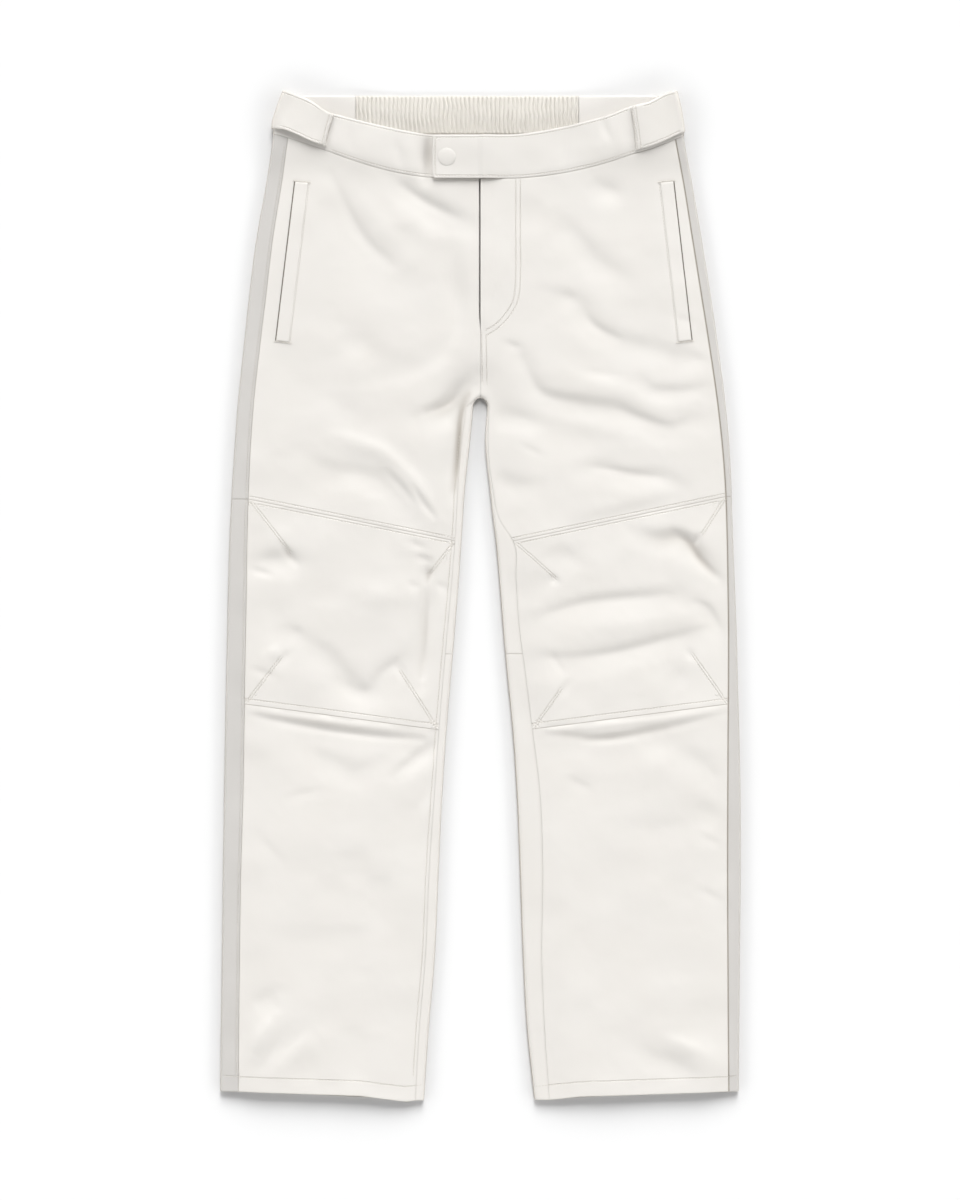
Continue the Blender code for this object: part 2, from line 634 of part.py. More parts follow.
def around(side, places, edges, rows, behind):
    """Places of a band from the front (x of each column), round the outer fold and on along the back.

    The edges are four lines: top and lower edge on the front, top and lower edge on the back.
    """
    corner = FOLD_RADIUS * (1 - np.sqrt(0.5))
    offsets = np.array([FOLD_RADIUS, corner, 0.0, corner, FOLD_RADIUS, *behind])
    share = np.linspace(0.0, 1.0, rows + 1)[:, None]
    ahead = len(places)
    face = np.array([[FRONT] * (ahead + 2) + [BACK] * (len(offsets) - 2)])
    seam_fold = smooth_table(LEGS[side], OUTER_FOLD, WAIST_AT_FOLD)
    narrower = smooth_table(LEGS[side], OUTER_FOLD, WAIST_AT_FOLD * share) / seam_fold
    spread = blend(1.0, narrower, ease(np.abs(places)[None, :] / seam_fold))
    front_x = places[None, :] * spread
    x = np.hstack([front_x, side * np.full((rows + 1, len(offsets)), SIDE_GUESS)])
    top, lower, back_upper, back_lower = edges
    for _ in range(SETTLE_ROUNDS):
        on_front = blend(top(x), lower(x), share)
        on_back = blend(back_upper(np.abs(x)), back_lower(np.abs(x)), share)
        down = np.where(face == FRONT, on_front, on_back)
        fold = smooth_table(LEGS[side], OUTER_FOLD, down[:, ahead:])
        x = np.hstack([front_x, side * (fold - offsets)])
    return x, down, face


def front_edge(side, column, past_centre):
    """One edge of the front waist as a line over x, with its own level on the far side of the centre."""
    return lambda x: np.where(x * side < 0, past_centre, smooth_table(WAISTS[side], column, np.abs(x)))


def front_band(side, name, leather, panel_places):
    """A front waistband, whose columns meet those of the thigh panel below it."""
    half = 0.5 * SEAM_GAP
    seam = front_edge(side, WAIST_SEAM, EXTENSION_BOTTOM)
    edges = (
        front_edge(side, BAND_TOP, EXTENSION_TOP),
        lambda x: seam(x) - half,
        back_top,
        lambda across: back_seam(side, across) - half,
    )
    places = side * panel_places[::-1]
    if side == LEFT:
        places = np.concatenate((np.linspace(EXTENSION_END, EXTENSION_NEAR, EXTENSION_COLUMNS), places))
    fold = smooth_table(LEGS[side], OUTER_FOLD, WAIST_AT_FOLD) - FOLD_RADIUS
    places = np.append(places, 0.5 * (places[-1] + side * fold))
    band = around(side, places, edges, BAND_ROWS, [SIDE_SEAM_BEHIND - half])
    over = ease((EXTENSION_LEVEL + EXTENSION_EASE - band[0]) / EXTENSION_EASE) * (side == LEFT)
    wall("waistband_front_" + name, leather, band, BAND_WALL, blend(BAND_LIFT, EXTENSION_LIFT, over))


def side_tab(side, name, leather):
    """An adjuster tab: it lies on the band from its front stitching, round the side and along the back.

    Its lower edge stands off the band more and more towards the side.
    """
    level = np.linspace(TAB_FRONT[side], PEAK_ACROSS, TAB_COLUMNS)
    edges = (
        lambda x: smooth_table(WAISTS[side], BAND_TOP, np.abs(x)) + TAB_INSET,
        front_edge(side, TAB_EDGE, 0.0),
        lambda across: back_top(across) + TAB_INSET,
        lambda across: blend(
            TAB_BACK_EDGE, WAISTS[side][-1, TAB_EDGE], ease((across - BACK_LEVEL) / BACK_LEVEL_EASE)
        ),
    )
    behind = [SIDE_SEAM_BEHIND, 0.5 * (SIDE_SEAM_BEHIND + TAB_BEHIND), TAB_BEHIND]
    x, down, face = around(side, side * level[:-1], edges, BAND_ROWS, behind)
    share = np.linspace(0.0, 1.0, BAND_ROWS + 1)[:, None]
    free = ease((np.abs(x) - TAB_FRONT[side]) / TAB_FREE_EASE) * ease(edge_distance(x, down) / TAB_FOLD_EASE)
    lift = TAB_LIFT + TAB_STAND[side] * share**2 * free * (face == FRONT)
    wall("side_tab_" + name, leather, (x, down, face), TAB_WALL, lift)


def back_band(side, name, leather, elastic_end):
    """The plain stretch of the back waistband between the side seam and the elastic."""
    half = 0.5 * SEAM_GAP
    share = np.linspace(0.0, 1.0, BACK_BAND_COLUMNS)[None, :]
    rows = np.linspace(0.0, 1.0, BAND_ROWS + 1)[:, None]
    across = blend(SIDE_GUESS, elastic_end, share) * np.ones(rows.shape)
    for _ in range(SETTLE_ROUNDS):
        down = blend(back_top(across), back_seam(side, across) - half, rows)
        start = smooth_table(LEGS[side], OUTER_FOLD, down) - SIDE_SEAM_BEHIND - half
        across = blend(start, elastic_end + half, share)
    wall("waistband_back_" + name, leather, (side * across, down, BACK), BAND_WALL, BAND_LIFT)


def elastic_band(gathered):
    """The gathered back of the waist: its upper side is a row of even ruffles over a flat underside."""
    half = 0.5 * SEAM_GAP
    x = np.linspace(ELASTIC_RIGHT + half, ELASTIC_LEFT - half, 2 * GATHERS + 1)[None, :]
    foot = BACK_SEAM - half
    down = np.array([BACK_TOP, BACK_TOP + ELASTIC_TOP, foot - ELASTIC_HEM, foot])[:, None]
    crest = np.arange(2 * GATHERS + 1) % 2
    thickness = BAND_WALL - 0.5 * GATHER_DEPTH + GATHER_DEPTH * np.array(FULLNESS)[:, None] * crest
    wall("waistband_back_elastic", gathered, (x, down, BACK), thickness, BAND_LIFT)


def pocket_welt(side, name, leather):
    """A welt: a narrow double strip that lies along the pocket opening."""
    (top, top_down), (foot, foot_down) = WELT_LINE[side]
    length = np.hypot(foot - top, foot_down - top_down)
    run = np.array([(foot - top) / length, (foot_down - top_down) / length])
    along = np.linspace(0.0, length, WELT_ROWS)[:, None]
    aside = np.linspace(-0.5, 0.5, 3)[None, :] * WELT_WIDTH
    across = top + run[0] * along + run[1] * aside
    down = top_down + run[1] * along - run[0] * aside
    wall("pocket_welt_" + name, leather, (side * across, down, FRONT), WELT_WALL, WELT_LIFT)


def snap_button(leather):
    """The covered cap of the snap, a low dome on the band's extension."""
    turns = np.linspace(0.0, 2 * np.pi, SNAP_SIDES, endpoint=False)
    base = EXTENSION_LIFT + SEAM_GAP
    vertices, faces = [], []
    for reach, height in SNAP_PROFILE[1:]:
        x = SNAP_ACROSS + SNAP_RADIUS * reach * np.cos(turns)
        down = SNAP_DOWN - SNAP_RADIUS * reach * np.sin(turns)
        points, normals = surface(x, down, FRONT)
        vertices += list((points + normals * (base + SNAP_HEIGHT * height)) * MM)
    points, normals = surface(np.array([SNAP_ACROSS]), np.array([SNAP_DOWN]), FRONT)
    top, foot = len(vertices), len(vertices) + 1
    vertices += [(points + normals * (base + SNAP_HEIGHT))[0] * MM, (points + normals * base)[0] * MM]
    count = len(turns)
    for k in range(count):
        after = (k + 1) % count
        faces.append((top, k, after))
        for ring in range(len(SNAP_PROFILE) - 2):
            low = ring * count
            faces.append((low + k, low + count + k, low + count + after, low + after))
        last = (len(SNAP_PROFILE) - 2) * count
        faces.append((foot, last + after, last + k))
    finish("snap_button", leather, np.array(vertices), faces)


def build():
    leather = new_material("off_white_leather", (0.871, 0.855, 0.807), 0.48)
    grey = new_material("pale_grey_leather", (0.708, 0.694, 0.665), 0.5)
    gathered = new_material("gathered_waist_leather", (0.823, 0.791, 0.723), 0.55)
    elastic_ends = {RIGHT: -ELASTIC_RIGHT, LEFT: ELASTIC_LEFT}
    for side, name in ((RIGHT, "right"), (LEFT, "left")):
        thigh = leg(side, name, leather, grey)
        front_band(side, name, leather, thigh[0][0])
        side_tab(side, name, leather)
        back_band(side, name, leather, elastic_ends[side])
        pocket_welt(side, name, leather)
    elastic_band(gathered)
    snap_button(leather)


for old in list(bpy.data.objects):
    bpy.data.objects.remove(old, do_unlink=True)
pants = bpy.data.collections.new("motorcycle_pants")
bpy.context.scene.collection.children.link(pants)
build()
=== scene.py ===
# %% [markdown]
# # Leather motorcycle pants, laid flat
# The real thing is a pair of straight leather trousers, cut from some twenty pieces of soft full-grain
# leather and sewn with the seams folded under. The imported model already holds every piece as a plain wall
# at its real size and place. This lesson gives each of them its leather: finer creases, rolled seams,
# stitching and grain. We first load the imported model.

# %% Load the imported model
import json

import bpy
import numpy as np
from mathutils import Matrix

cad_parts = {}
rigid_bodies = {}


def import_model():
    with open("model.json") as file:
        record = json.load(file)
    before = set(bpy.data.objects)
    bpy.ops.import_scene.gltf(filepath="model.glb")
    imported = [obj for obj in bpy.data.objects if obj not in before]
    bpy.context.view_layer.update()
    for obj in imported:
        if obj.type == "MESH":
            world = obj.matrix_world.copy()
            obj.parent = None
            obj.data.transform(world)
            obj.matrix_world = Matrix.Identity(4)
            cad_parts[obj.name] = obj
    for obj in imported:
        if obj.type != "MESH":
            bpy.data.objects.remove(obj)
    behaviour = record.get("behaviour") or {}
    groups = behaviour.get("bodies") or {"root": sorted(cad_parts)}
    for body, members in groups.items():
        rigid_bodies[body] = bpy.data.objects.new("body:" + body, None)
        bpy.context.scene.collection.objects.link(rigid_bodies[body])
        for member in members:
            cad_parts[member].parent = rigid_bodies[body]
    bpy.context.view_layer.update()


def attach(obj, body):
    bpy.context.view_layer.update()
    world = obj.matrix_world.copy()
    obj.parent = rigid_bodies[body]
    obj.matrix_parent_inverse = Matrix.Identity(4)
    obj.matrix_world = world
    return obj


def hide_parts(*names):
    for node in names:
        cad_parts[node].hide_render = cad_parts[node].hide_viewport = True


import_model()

# %% [markdown]
# ## Sizes
# A maker measures trousers across from the centre line and down from the top of the waist, so we do the
# same, in millimetres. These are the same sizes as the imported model's, which keeps every new piece on its
# solid, but for the seams: sewn leather meets, so its pieces lie closer together here. The wearer's right
# is at -X, so "across" times the side's sign gives x.

# %% Sizes of the cut
MM = 0.001
LENGTH = 1089.8
FOLD_RADIUS = 3.0
LEATHER = 1.4
SEAM_GAP = 0.16
HALF = 0.5 * SEAM_GAP
STRIPE_WIDTH = 40.0
HEM_HEIGHT = 16.0
PUFF, PUFF_EASE = 3.2, 50.0
RELIEF_LIMIT, RELIEF_EASE = 4.2, 16.0
ARCH_TOP, ARCH_HEIGHT = 332.0, 10.0
ARCH_BASE = ARCH_TOP + ARCH_HEIGHT
RIGHT, LEFT = -1, 1
FRONT, BACK = 1, -1
SIDES = ((RIGHT, "right"), (LEFT, "left"))

# %% [markdown]
# ## The cut of each leg
# Each row gives a place down the leg and four distances from the centre line: the outer fold, the seam
# beside the grey stripe, the inner fold and the inner seam. A smooth curve through the rows gives the
# outline between them. The two legs differ a little, as real ones do when they are laid out by hand.

# %% Tables of the legs
OUTER_FOLD, SIDE_SEAM, INNER_FOLD, INNER_SEAM = 1, 2, 3, 4
RIGHT_LEG = np.array([
    (0, 210.7, 193.0, 8.1, 15.6), (17, 217.1, 199.0, 8.1, 15.6), (34, 222.4, 204.5, 8.1, 15.6),
    (46, 223.4, 206.6, 8.1, 15.6), (99, 231.2, 214.4, 8.1, 15.6), (160, 242.0, 224.1, 8.1, 15.6),
    (220, 249.6, 231.3, 8.1, 15.6), (280, 256.0, 238.6, 8.1, 15.6), (342, 262.4, 245.2, 8.1, 15.6),
    (373, 264.6, 247.4, 10.8, 19.4), (431, 268.4, 250.2, 16.9, 24.6), (476, 270.6, 251.6, 19.9, 27.0),
    (528, 272.2, 252.4, 23.4, 30.9), (580, 273.3, 253.2, 27.5, 35.6), (632, 274.4, 254.2, 31.8, 40.2),
    (683, 275.4, 254.9, 36.1, 44.4), (761, 276.7, 256.2, 41.3, 49.9), (839, 277.9, 258.4, 45.0, 55.3),
    (942, 279.1, 260.0, 49.8, 60.0), (1010, 280.1, 260.7, 55.6, 66.0), (1091, 281.0, 261.2, 61.2, 70.5),
])
LEFT_LEG = np.array([
    (0, 209.7, 199.0, 9.2, 11.0), (17, 214.0, 203.6, 9.2, 11.0), (34, 217.0, 207.0, 9.2, 11.0),
    (46, 218.6, 209.0, 9.2, 11.0), (99, 228.4, 219.0, 9.2, 11.0), (160, 238.8, 228.8, 9.2, 11.0),
    (220, 248.5, 238.3, 9.2, 11.0), (280, 257.1, 247.8, 9.2, 11.0), (342, 265.0, 256.6, 7.6, 9.6),
    (373, 267.9, 260.1, 5.2, 8.2), (431, 271.1, 264.6, 10.2, 13.6), (464, 272.0, 265.8, 13.8, 21.0),
    (487, 272.8, 266.4, 16.6, 35.6), (528, 274.4, 267.0, 20.2, 38.4), (580, 276.5, 267.7, 24.3, 42.0),
    (632, 277.8, 267.6, 28.9, 48.8), (683, 279.2, 267.2, 34.0, 55.2), (761, 280.8, 266.8, 39.3, 64.4),
    (839, 281.0, 266.6, 42.4, 67.2), (942, 280.0, 267.0, 46.2, 66.2), (1010, 279.4, 267.4, 50.0, 69.0),
    (1091, 278.6, 268.0, 58.4, 74.6),
])
LEGS = {RIGHT: RIGHT_LEG, LEFT: LEFT_LEG}

# %% [markdown]
# ## The waist and the cross seams
# The waist dips at the front. Its rows give, for a distance across, the top of the band, the seam under it
# and the lower edge of the side tab. The cross seams are straight lines between two places on each leg.

# %% Tables of the waist and seams
BAND_TOP, WAIST_SEAM, TAB_EDGE = 1, 2, 3
RIGHT_WAIST = np.array([
    (0, 48.5, 95.4, 80.0), (48, 48.4, 94.6, 80.0), (72, 45.4, 92.2, 80.0), (110, 37.6, 84.2, 78.0),
    (150, 28.0, 71.6, 66.6), (164, 24.0, 66.4, 61.8), (182, 12.0, 60.0, 56.0), (200, 4.0, 54.0, 47.6),
    (211, 0.0, 50.4, 43.4), (224, 0.0, 47.2, 41.4),
])
LEFT_WAIST = np.array([
    (0, 48.5, 95.4, 80.0), (48, 46.8, 94.6, 80.0), (82, 41.0, 90.6, 80.0), (110, 34.8, 85.2, 78.0),
    (140, 26.6, 77.2, 72.0), (164, 17.2, 69.4, 66.6), (182, 12.4, 64.2, 61.6), (200, 3.0, 57.6, 54.4),
    (211, 0.0, 52.8, 49.0), (219, 0.0, 49.6, 45.4),
])
WAISTS = {RIGHT: RIGHT_WAIST, LEFT: LEFT_WAIST}
KNEE_TOP = {RIGHT: ((250, 441), (27, 486)), LEFT: ((266, 438), (36, 486))}
KNEE_BOTTOM = {RIGHT: ((254, 662), (44, 690)), LEFT: ((267, 662), (56, 689))}
CROTCH_LINE = {RIGHT: ((244, 288), (0, ARCH_TOP)), LEFT: ((252, 288), (0, ARCH_TOP))}
HEM = {
    RIGHT: ((61, 1088.4), (80, 1091.0), (129, 1084.4), (200, 1082.0), (262, 1080.0), (281, 1078.4)),
    LEFT: ((58, 1090.4), (80, 1088.4), (107, 1085.2), (195, 1082.4), (268, 1080.0), (281, 1078.4)),
}
WAIST_AT_FOLD = 48.0
BACK_TOP, BACK_SEAM, SIDE_SEAM_BEHIND = 5.5, 46.6, 20.0
BAND_WALL, BAND_LIFT = 2.0, 0.6
TAB_WALL, TAB_LIFT, TAB_BEHIND, TAB_INSET, TAB_BACK_EDGE = 1.4, 2.6, 60.0, 1.0, 44.5
TAB_FRONT = {RIGHT: 165.5, LEFT: 167.6}
EXTENSION_END, EXTENSION_TOP, EXTENSION_BOTTOM, EXTENSION_LIFT = -51.4, 48.5, 95.4, 3.2
EXTENSION_LEVEL, EXTENSION_EASE = 6.0, 24.0
ELASTIC_ENDS = {RIGHT: 134.4, LEFT: 105.9}
GATHERS, GATHER_DEPTH = 52, 1.1
SNAP_ACROSS, SNAP_DOWN, SNAP_RADIUS, SNAP_HEIGHT = -36.1, 72.2, 9.5, 0.8
WELT_LINE = {RIGHT: ((192.8, 99.5), (213.4, 271.0)), LEFT: ((201.0, 99.0), (220.6, 270.5))}
WELT_WIDTH, WELT_WALL, WELT_LIFT = 14.0, 0.6, 0.75
FLY_END, FLY_LIFT, FLY_WIDTH, FLY_OPENING = 264.0, 0.9, 12.0, 1.5

# %% [markdown]
# ## Creases
# Thick soft leather keeps few and rounded creases. Each row here is one: its depth (a trough is negative),
# its width and the places where its shaded or bright side shows; the crease itself runs half a width
# further down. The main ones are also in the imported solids; the finer ones, such as the puckers at the
# darts and the soft folds in the waistband, only show here.

# %% Tables of the creases
MAIN_CREASES = (
    # right thigh
    (-3.6, 13, ((-94, 91), (-66, 113), (-40, 129), (-16, 137))),
    (-1.8, 21, ((-155, 98), (-128, 150), (-88, 188))), (1.4, 16, ((-148, 92), (-112, 136), (-80, 172))),
    (-2.0, 13, ((-34, 150), (-26, 200), (-22, 240))), (-1.2, 18, ((-148, 250), (-104, 284))),
    (-3.6, 13, ((-65, 347), (-37, 340), (-22, 319), (-7, 304))),
    (-2.8, 9, ((-17, 340), (-22, 372), (-27, 432))),
    (1.9, 10, ((-158, 368), (-112, 382), (-82, 406), (-60, 434), (-48, 456))),
    (-2.1, 14, ((-192, 388), (-165, 404), (-128, 410), (-98, 424), (-74, 456))),
    # left thigh
    (-2.0, 13, ((84, 132), (107, 157), (125, 178), (154, 197))),
    (-2.0, 13, ((70, 213), (104, 224), (117, 244), (141, 262), (188, 275), (232, 287))),
    (-2.4, 12, ((40, 277), (50, 292), (59, 315), (82, 331), (143, 338), (172, 351), (206, 363), (226, 353))),
    (1.3, 18, ((70, 290), (130, 312), (190, 336))),
    (-1.6, 9, ((173, 309), (187, 320), (214, 321), (242, 317))),
    (-1.5, 12, ((12, 346), (40, 348), (68, 358))),
    (-1.9, 11, ((116, 402), (138, 404), (160, 412), (194, 412), (218, 424))),
    (-1.3, 11, ((16, 412), (36, 420), (58, 424))), (-1.4, 12, ((104, 462), (152, 452), (208, 438))),
    (-1.1, 14, ((118, 98), (160, 104))),
    # right knee
    (-2.2, 13, ((-240, 504), (-214, 500), (-186, 506))),
    (-2.6, 14, ((-206, 580), (-168, 602), (-144, 630), (-121, 643), (-100, 620), (-82, 609))),
    (-3.4, 9, ((-57, 508), (-55, 545), (-59, 585), (-63, 636))), (1.2, 16, ((-125, 534), (-92, 540))),
    (-1.2, 12, ((-224, 520), (-228, 590))),
    # left knee
    (-2.1, 12, ((62, 566), (93, 554), (143, 546), (179, 543), (211, 540))),
    (-1.9, 12, ((70, 606), (94, 612), (134, 606), (174, 596), (214, 588), (246, 580))),
    (0.6, 12, ((84, 588), (150, 574), (226, 562))),
    (-2.9, 12, ((162, 470), (190, 480), (214, 480), (230, 492), (244, 508), (258, 524))),
    (-1.8, 10, ((236, 550), (258, 578))), (-1.2, 12, ((88, 492), (110, 510))),
    (-0.9, 13, ((206, 618), (222, 636))),
    # shins
    (-1.3, 13, ((-240, 676), (-165, 690), (-60, 702))), (-2.2, 8, ((-92, 736), (-70, 717), (-48, 701))),
    (-1.6, 13, ((-198, 704), (-157, 720), (-136, 731), (-112, 722), (-84, 712))),
    (-1.3, 14, ((70, 704), (150, 700), (258, 682))), (-1.3, 12, ((205, 702), (240, 722), (258, 748))),
    (-0.8, 15, ((160, 792), (226, 788))), (-0.8, 12, ((232, 768), (258, 782))),
    (-1.4, 13, ((176, 1034), (212, 1046), (236, 1058))), (1.5, 18, ((196, 1010), (252, 1036))),
    (-1.2, 12, ((-244, 984), (-220, 968))), (1.4, 15, ((-246, 1030), (-222, 996))),
    (1.2, 13, ((-210, 1046), (-172, 1020))), (1.5, 44, ((-236, 1072), (-80, 1080))),
    (1.5, 44, ((90, 1082), (250, 1074))),
)
FINE_CREASES = (
    # soft folds in the waistband
    (-0.7, 6, ((-92, 46), (-84, 84))), (-3.0, 7, ((-58.5, 48), (-57.5, 70), (-59, 94))),
    (0.7, 6, ((-76, 50), (-72, 88))), (-0.6, 6, ((92, 42), (90, 82))), (-0.9, 4, ((130, 28), (140, 52))),
    (0.5, 7, ((146, 30), (152, 66))), (-0.5, 6, ((-142, 34), (-138, 66))),
    # a pucker at the point of each dart
    (-1.6, 4, ((-214, 488), (-206, 498), (-198, 508))), (-1.5, 4.5, ((-52, 514), (-57, 526))),
    (-1.0, 5, ((-222, 618), (-206, 604))), (1.0, 8, ((-230, 606), (-216, 597))),
    (-1.0, 5, ((-84, 634), (-90, 616))), (-1.3, 4, ((76, 522), (84, 529))),
    (-1.6, 4, ((236, 478), (231, 488))), (-0.9, 4, ((86, 650), (96, 634))),
    (-1.0, 4, ((230, 612), (223, 602))),
    # below the lower knee seams the shin bulges and then drops away
    (0.8, 4, ((-246, 667), (-160, 679), (-60, 691))), (0.8, 4, ((66, 690), (150, 681), (258, 668))),
    (-1.3, 3.6, ((-245, 671), (-222, 677), (-168, 687), (-115, 694), (-62, 698))),
    (-1.2, 4.5, ((72, 692), (104, 695), (122, 697), (154, 694), (215, 682), (262, 669))),
    (-0.6, 4, ((112, 699), (168, 695))),
    # the sharp bottoms of the deepest folds
    (-1.6, 3.6, ((-72, 426), (-62, 442), (-50, 458))), (-1.0, 4, ((-101, 409), (-87, 423), (-68, 446))),
    (-0.7, 5, ((46, 288), (54, 306), (68, 324), (110, 333))),
    (-0.7, 5, ((150, 341), (196, 358), (218, 356))), (-0.7, 4, ((26, 270), (44, 276))),
    (-0.6, 5, ((66, 564), (120, 548), (200, 541))),
    (-0.7, 5, ((72, 609), (134, 605), (200, 589), (244, 577))),
    (-0.8, 4, ((112, 236), (124, 252), (150, 266))), (-0.9, 4, ((-86, 100), (-60, 117), (-26, 134))),
    (-0.6, 4, ((120, 404), (148, 408), (196, 416))), (0.4, 9, ((200, 557), (232, 566))),
    # soft shaded stretches beside the fly, at the crotch and down the inner thigh
    (-1.2, 12, ((-40, 176), (-29, 216), (-33, 262), (-62, 292), (-119, 306))),
    (-1.8, 4, ((-9, 326), (-17, 336), (-22, 362), (-23, 396), (-27, 428))),
    (-1.4, 5, ((-20, 316), (-34, 334), (-58, 345))),
    (-1.0, 6, ((-160, 90), (-146, 120), (-124, 158), (-96, 184))), (-0.7, 8, ((128, 98), (150, 110))),
    (-0.7, 7, ((86, 217), (104, 222))), (-0.6, 7, ((220, 280), (246, 292))),
    (-0.5, 6, ((108, 300), (152, 306))), (-1.0, 15, ((66, 352), (110, 368), (160, 374))),
    (-0.8, 14, ((-166, 330), (-130, 346))),
    # the folded corner beside the left knee's outer dart
    (-1.6, 4.5, ((208, 474), (226, 484), (230, 493), (241, 508), (256, 523))),
    (-0.9, 4, ((230, 550), (246, 556), (257, 577))), (-0.7, 8, ((64, 522), (80, 534))),
    (-0.6, 9, ((70, 500), (100, 492))), (-1.0, 8, ((190, 477), (216, 476), (230, 487), (242, 504))),
    # the right leg's foot, where the leather fans out from the stripe
    (1.0, 7, ((-244, 1036), (-234, 1012), (-222, 994))), (-0.8, 7, ((-232, 1048), (-216, 1018))),
    (0.8, 7, ((-212, 1042), (-180, 1012))), (0.8, 8, ((200, 1018), (240, 1034))),
    # the right knee's inner trough and the hollows of its lower fold
    (-1.5, 4, ((-58, 514), (-57, 545), (-59, 585), (-62, 630))), (-0.8, 7, ((-205, 578), (-192, 584))),
    (-0.8, 7, ((-150, 636), (-132, 645), (-116, 644))), (-0.8, 6, ((-108, 628), (-88, 610))),
    (-0.7, 9, ((-238, 503), (-210, 502))),
    # small folds round the inner darts and beside the seams
    (-0.9, 4, ((-76, 485), (-60, 492))), (-0.9, 4, ((-70, 500), (-52, 506))),
    (-0.6, 4, ((-78, 529), (-66, 535))), (-0.7, 4, ((-48, 529), (-34, 537))),
    (-0.8, 3.5, ((-246, 515), (-225, 521))), (-0.7, 4, ((-246, 622), (-222, 630))),
    (-0.6, 4, ((76, 606), (90, 626))), (-0.5, 5, ((-30, 566), (-42, 576))),
    (-0.5, 6, ((-52, 740), (-66, 780))), (-0.5, 5, ((236, 800), (258, 812))),
    (-0.5, 5, ((238, 860), (260, 872))), (-0.5, 5, ((96, 740), (118, 752))),
    (-0.5, 6, ((-240, 800), (-214, 830))), (-0.5, 5, ((-208, 760), (-172, 752))),
    (-0.5, 4, ((44, 380), (66, 392))), (-0.5, 5, ((206, 240), (232, 250))),
)
PAINTED_FOLD_SHADOWS = (
    # painted shade where the leather folds in deeply: down the inner thigh, by the extension and at two
    # darts
    (0.62, 3.4, ((-12, 326), (-20, 345), (-23, 372), (-25, 400), (-28, 430))),
    (0.22, 9, ((-18, 322), (-34, 336), (-52, 344))), (0.3, 4.6, ((-56, 48), (-55, 68), (-56, 90))),
    (0.34, 4.5, ((222, 482), (229, 490), (238, 503), (252, 518))),
    (0.16, 9, ((186, 478), (214, 478), (234, 492))), (0.2, 4, ((-212, 492), (-202, 504))),
    (0.3, 3, ((-54, 516), (-57, 527))), (0.16, 4, ((-60, 536), (-60, 584), (-64, 630))),
    (0.14, 3.6, ((-240, 669), (-168, 681), (-100, 690))), (0.14, 4.5, ((90, 692), (130, 695), (214, 681))),
)
BACK_CREASES = (
    # on the hidden side, behind the seat, the knees and the calves
    (0.7, 9, ((-196, 92), (-150, 104), (-112, 98))), (0.6, 8, ((104, 96), (146, 106), (190, 94))),
    (0.8, 10, ((-160, 176), (-96, 196), (-34, 236))), (0.7, 9, ((36, 228), (92, 204), (170, 186))),
    (0.9, 9, ((-204, 356), (-130, 346), (-44, 362))), (0.6, 7, ((-176, 398), (-104, 408), (-58, 396))),
    (0.9, 10, ((44, 368), (128, 352), (216, 362))), (0.6, 7, ((72, 404), (150, 412), (206, 400))),
    (1.0, 9, ((-220, 516), (-150, 528), (-66, 520))), (0.8, 8, ((-206, 556), (-142, 548), (-80, 560))),
    (0.6, 6, ((-190, 590), (-120, 600), (-74, 592))), (1.0, 9, ((66, 522), (140, 532), (224, 516))),
    (0.8, 8, ((82, 562), (150, 552), (214, 560))), (0.6, 6, ((90, 598), (132, 604), (206, 594))),
    (0.6, 9, ((-214, 742), (-150, 756), (-110, 748))), (0.5, 8, ((110, 758), (170, 748), (226, 760))),
    (0.6, 9, ((-206, 900), (-160, 912), (-120, 906))), (0.6, 9, ((120, 948), (164, 940), (220, 952))),
)

# %% [markdown]
# ## The shape of the leather
# One surface carries every piece. A front layer and a back layer meet in a rounded fold down each side of
# each leg, and the front layer stands up over the air inside. Written as functions of a place, it can be
# asked anywhere, as finely as we like, so that sheets, threads and trims all lie on exactly the same
# leather.


# %% Curves and soft steps
def smooth_table(table, column, at):
    """Reads a column of a table at any place of its first column, along a smooth curve through its rows."""
    places, values = table[:, 0], table[:, column]
    slopes = np.gradient(values, places)
    at = np.clip(at, places[0], places[-1])
    i = np.clip(np.searchsorted(places, at, side="right") - 1, 0, len(places) - 2)
    span = places[i + 1] - places[i]
    t = (at - places[i]) / span
    rise = t * t * (3 - 2 * t)
    start = values[i] * (1 - rise) + span * slopes[i] * t * (1 - t) ** 2
    return start + values[i + 1] * rise - span * slopes[i + 1] * t * t * (1 - t)


def leg_at(side, column, down):
    """A leg's fold or seam, as its distance from the centre line at a place down."""
    return smooth_table(LEGS[side], column, down)


def waist_at(side, column, across):
    """An edge or seam of the waist, as its place down at a distance across."""
    return smooth_table(WAISTS[side], column, across)


def blend(start, end, t):
    return start + (end - start) * t


def ease(t):
    """A soft step from 0 to 1."""
    t = np.clip(t, 0.0, 1.0)
    return t * t * (3 - 2 * t)


def line_down(points, across):
    """How far down a straight seam lies at a distance across."""
    (across_1, down_1), (across_2, down_2) = points
    return down_1 + (down_2 - down_1) * (across - across_1) / (across_2 - across_1)


def soft_noise(x, y, size, seed):
    """Smooth unevenness between -1 and 1, with hollows about as many millimetres across as size says."""
    lattice = np.random.default_rng(seed).uniform(-1, 1, (64, 64))
    u, v = x / size, y / size
    i, j = np.floor(u).astype(int), np.floor(v).astype(int)
    s, t = ((w * w * w * (w * (6 * w - 15) + 10)) for w in (u - i, v - j))
    low = blend(lattice[i % 64, j % 64], lattice[(i + 1) % 64, j % 64], s)
    high = blend(lattice[i % 64, (j + 1) % 64], lattice[(i + 1) % 64, (j + 1) % 64], s)
    return blend(low, high, t)


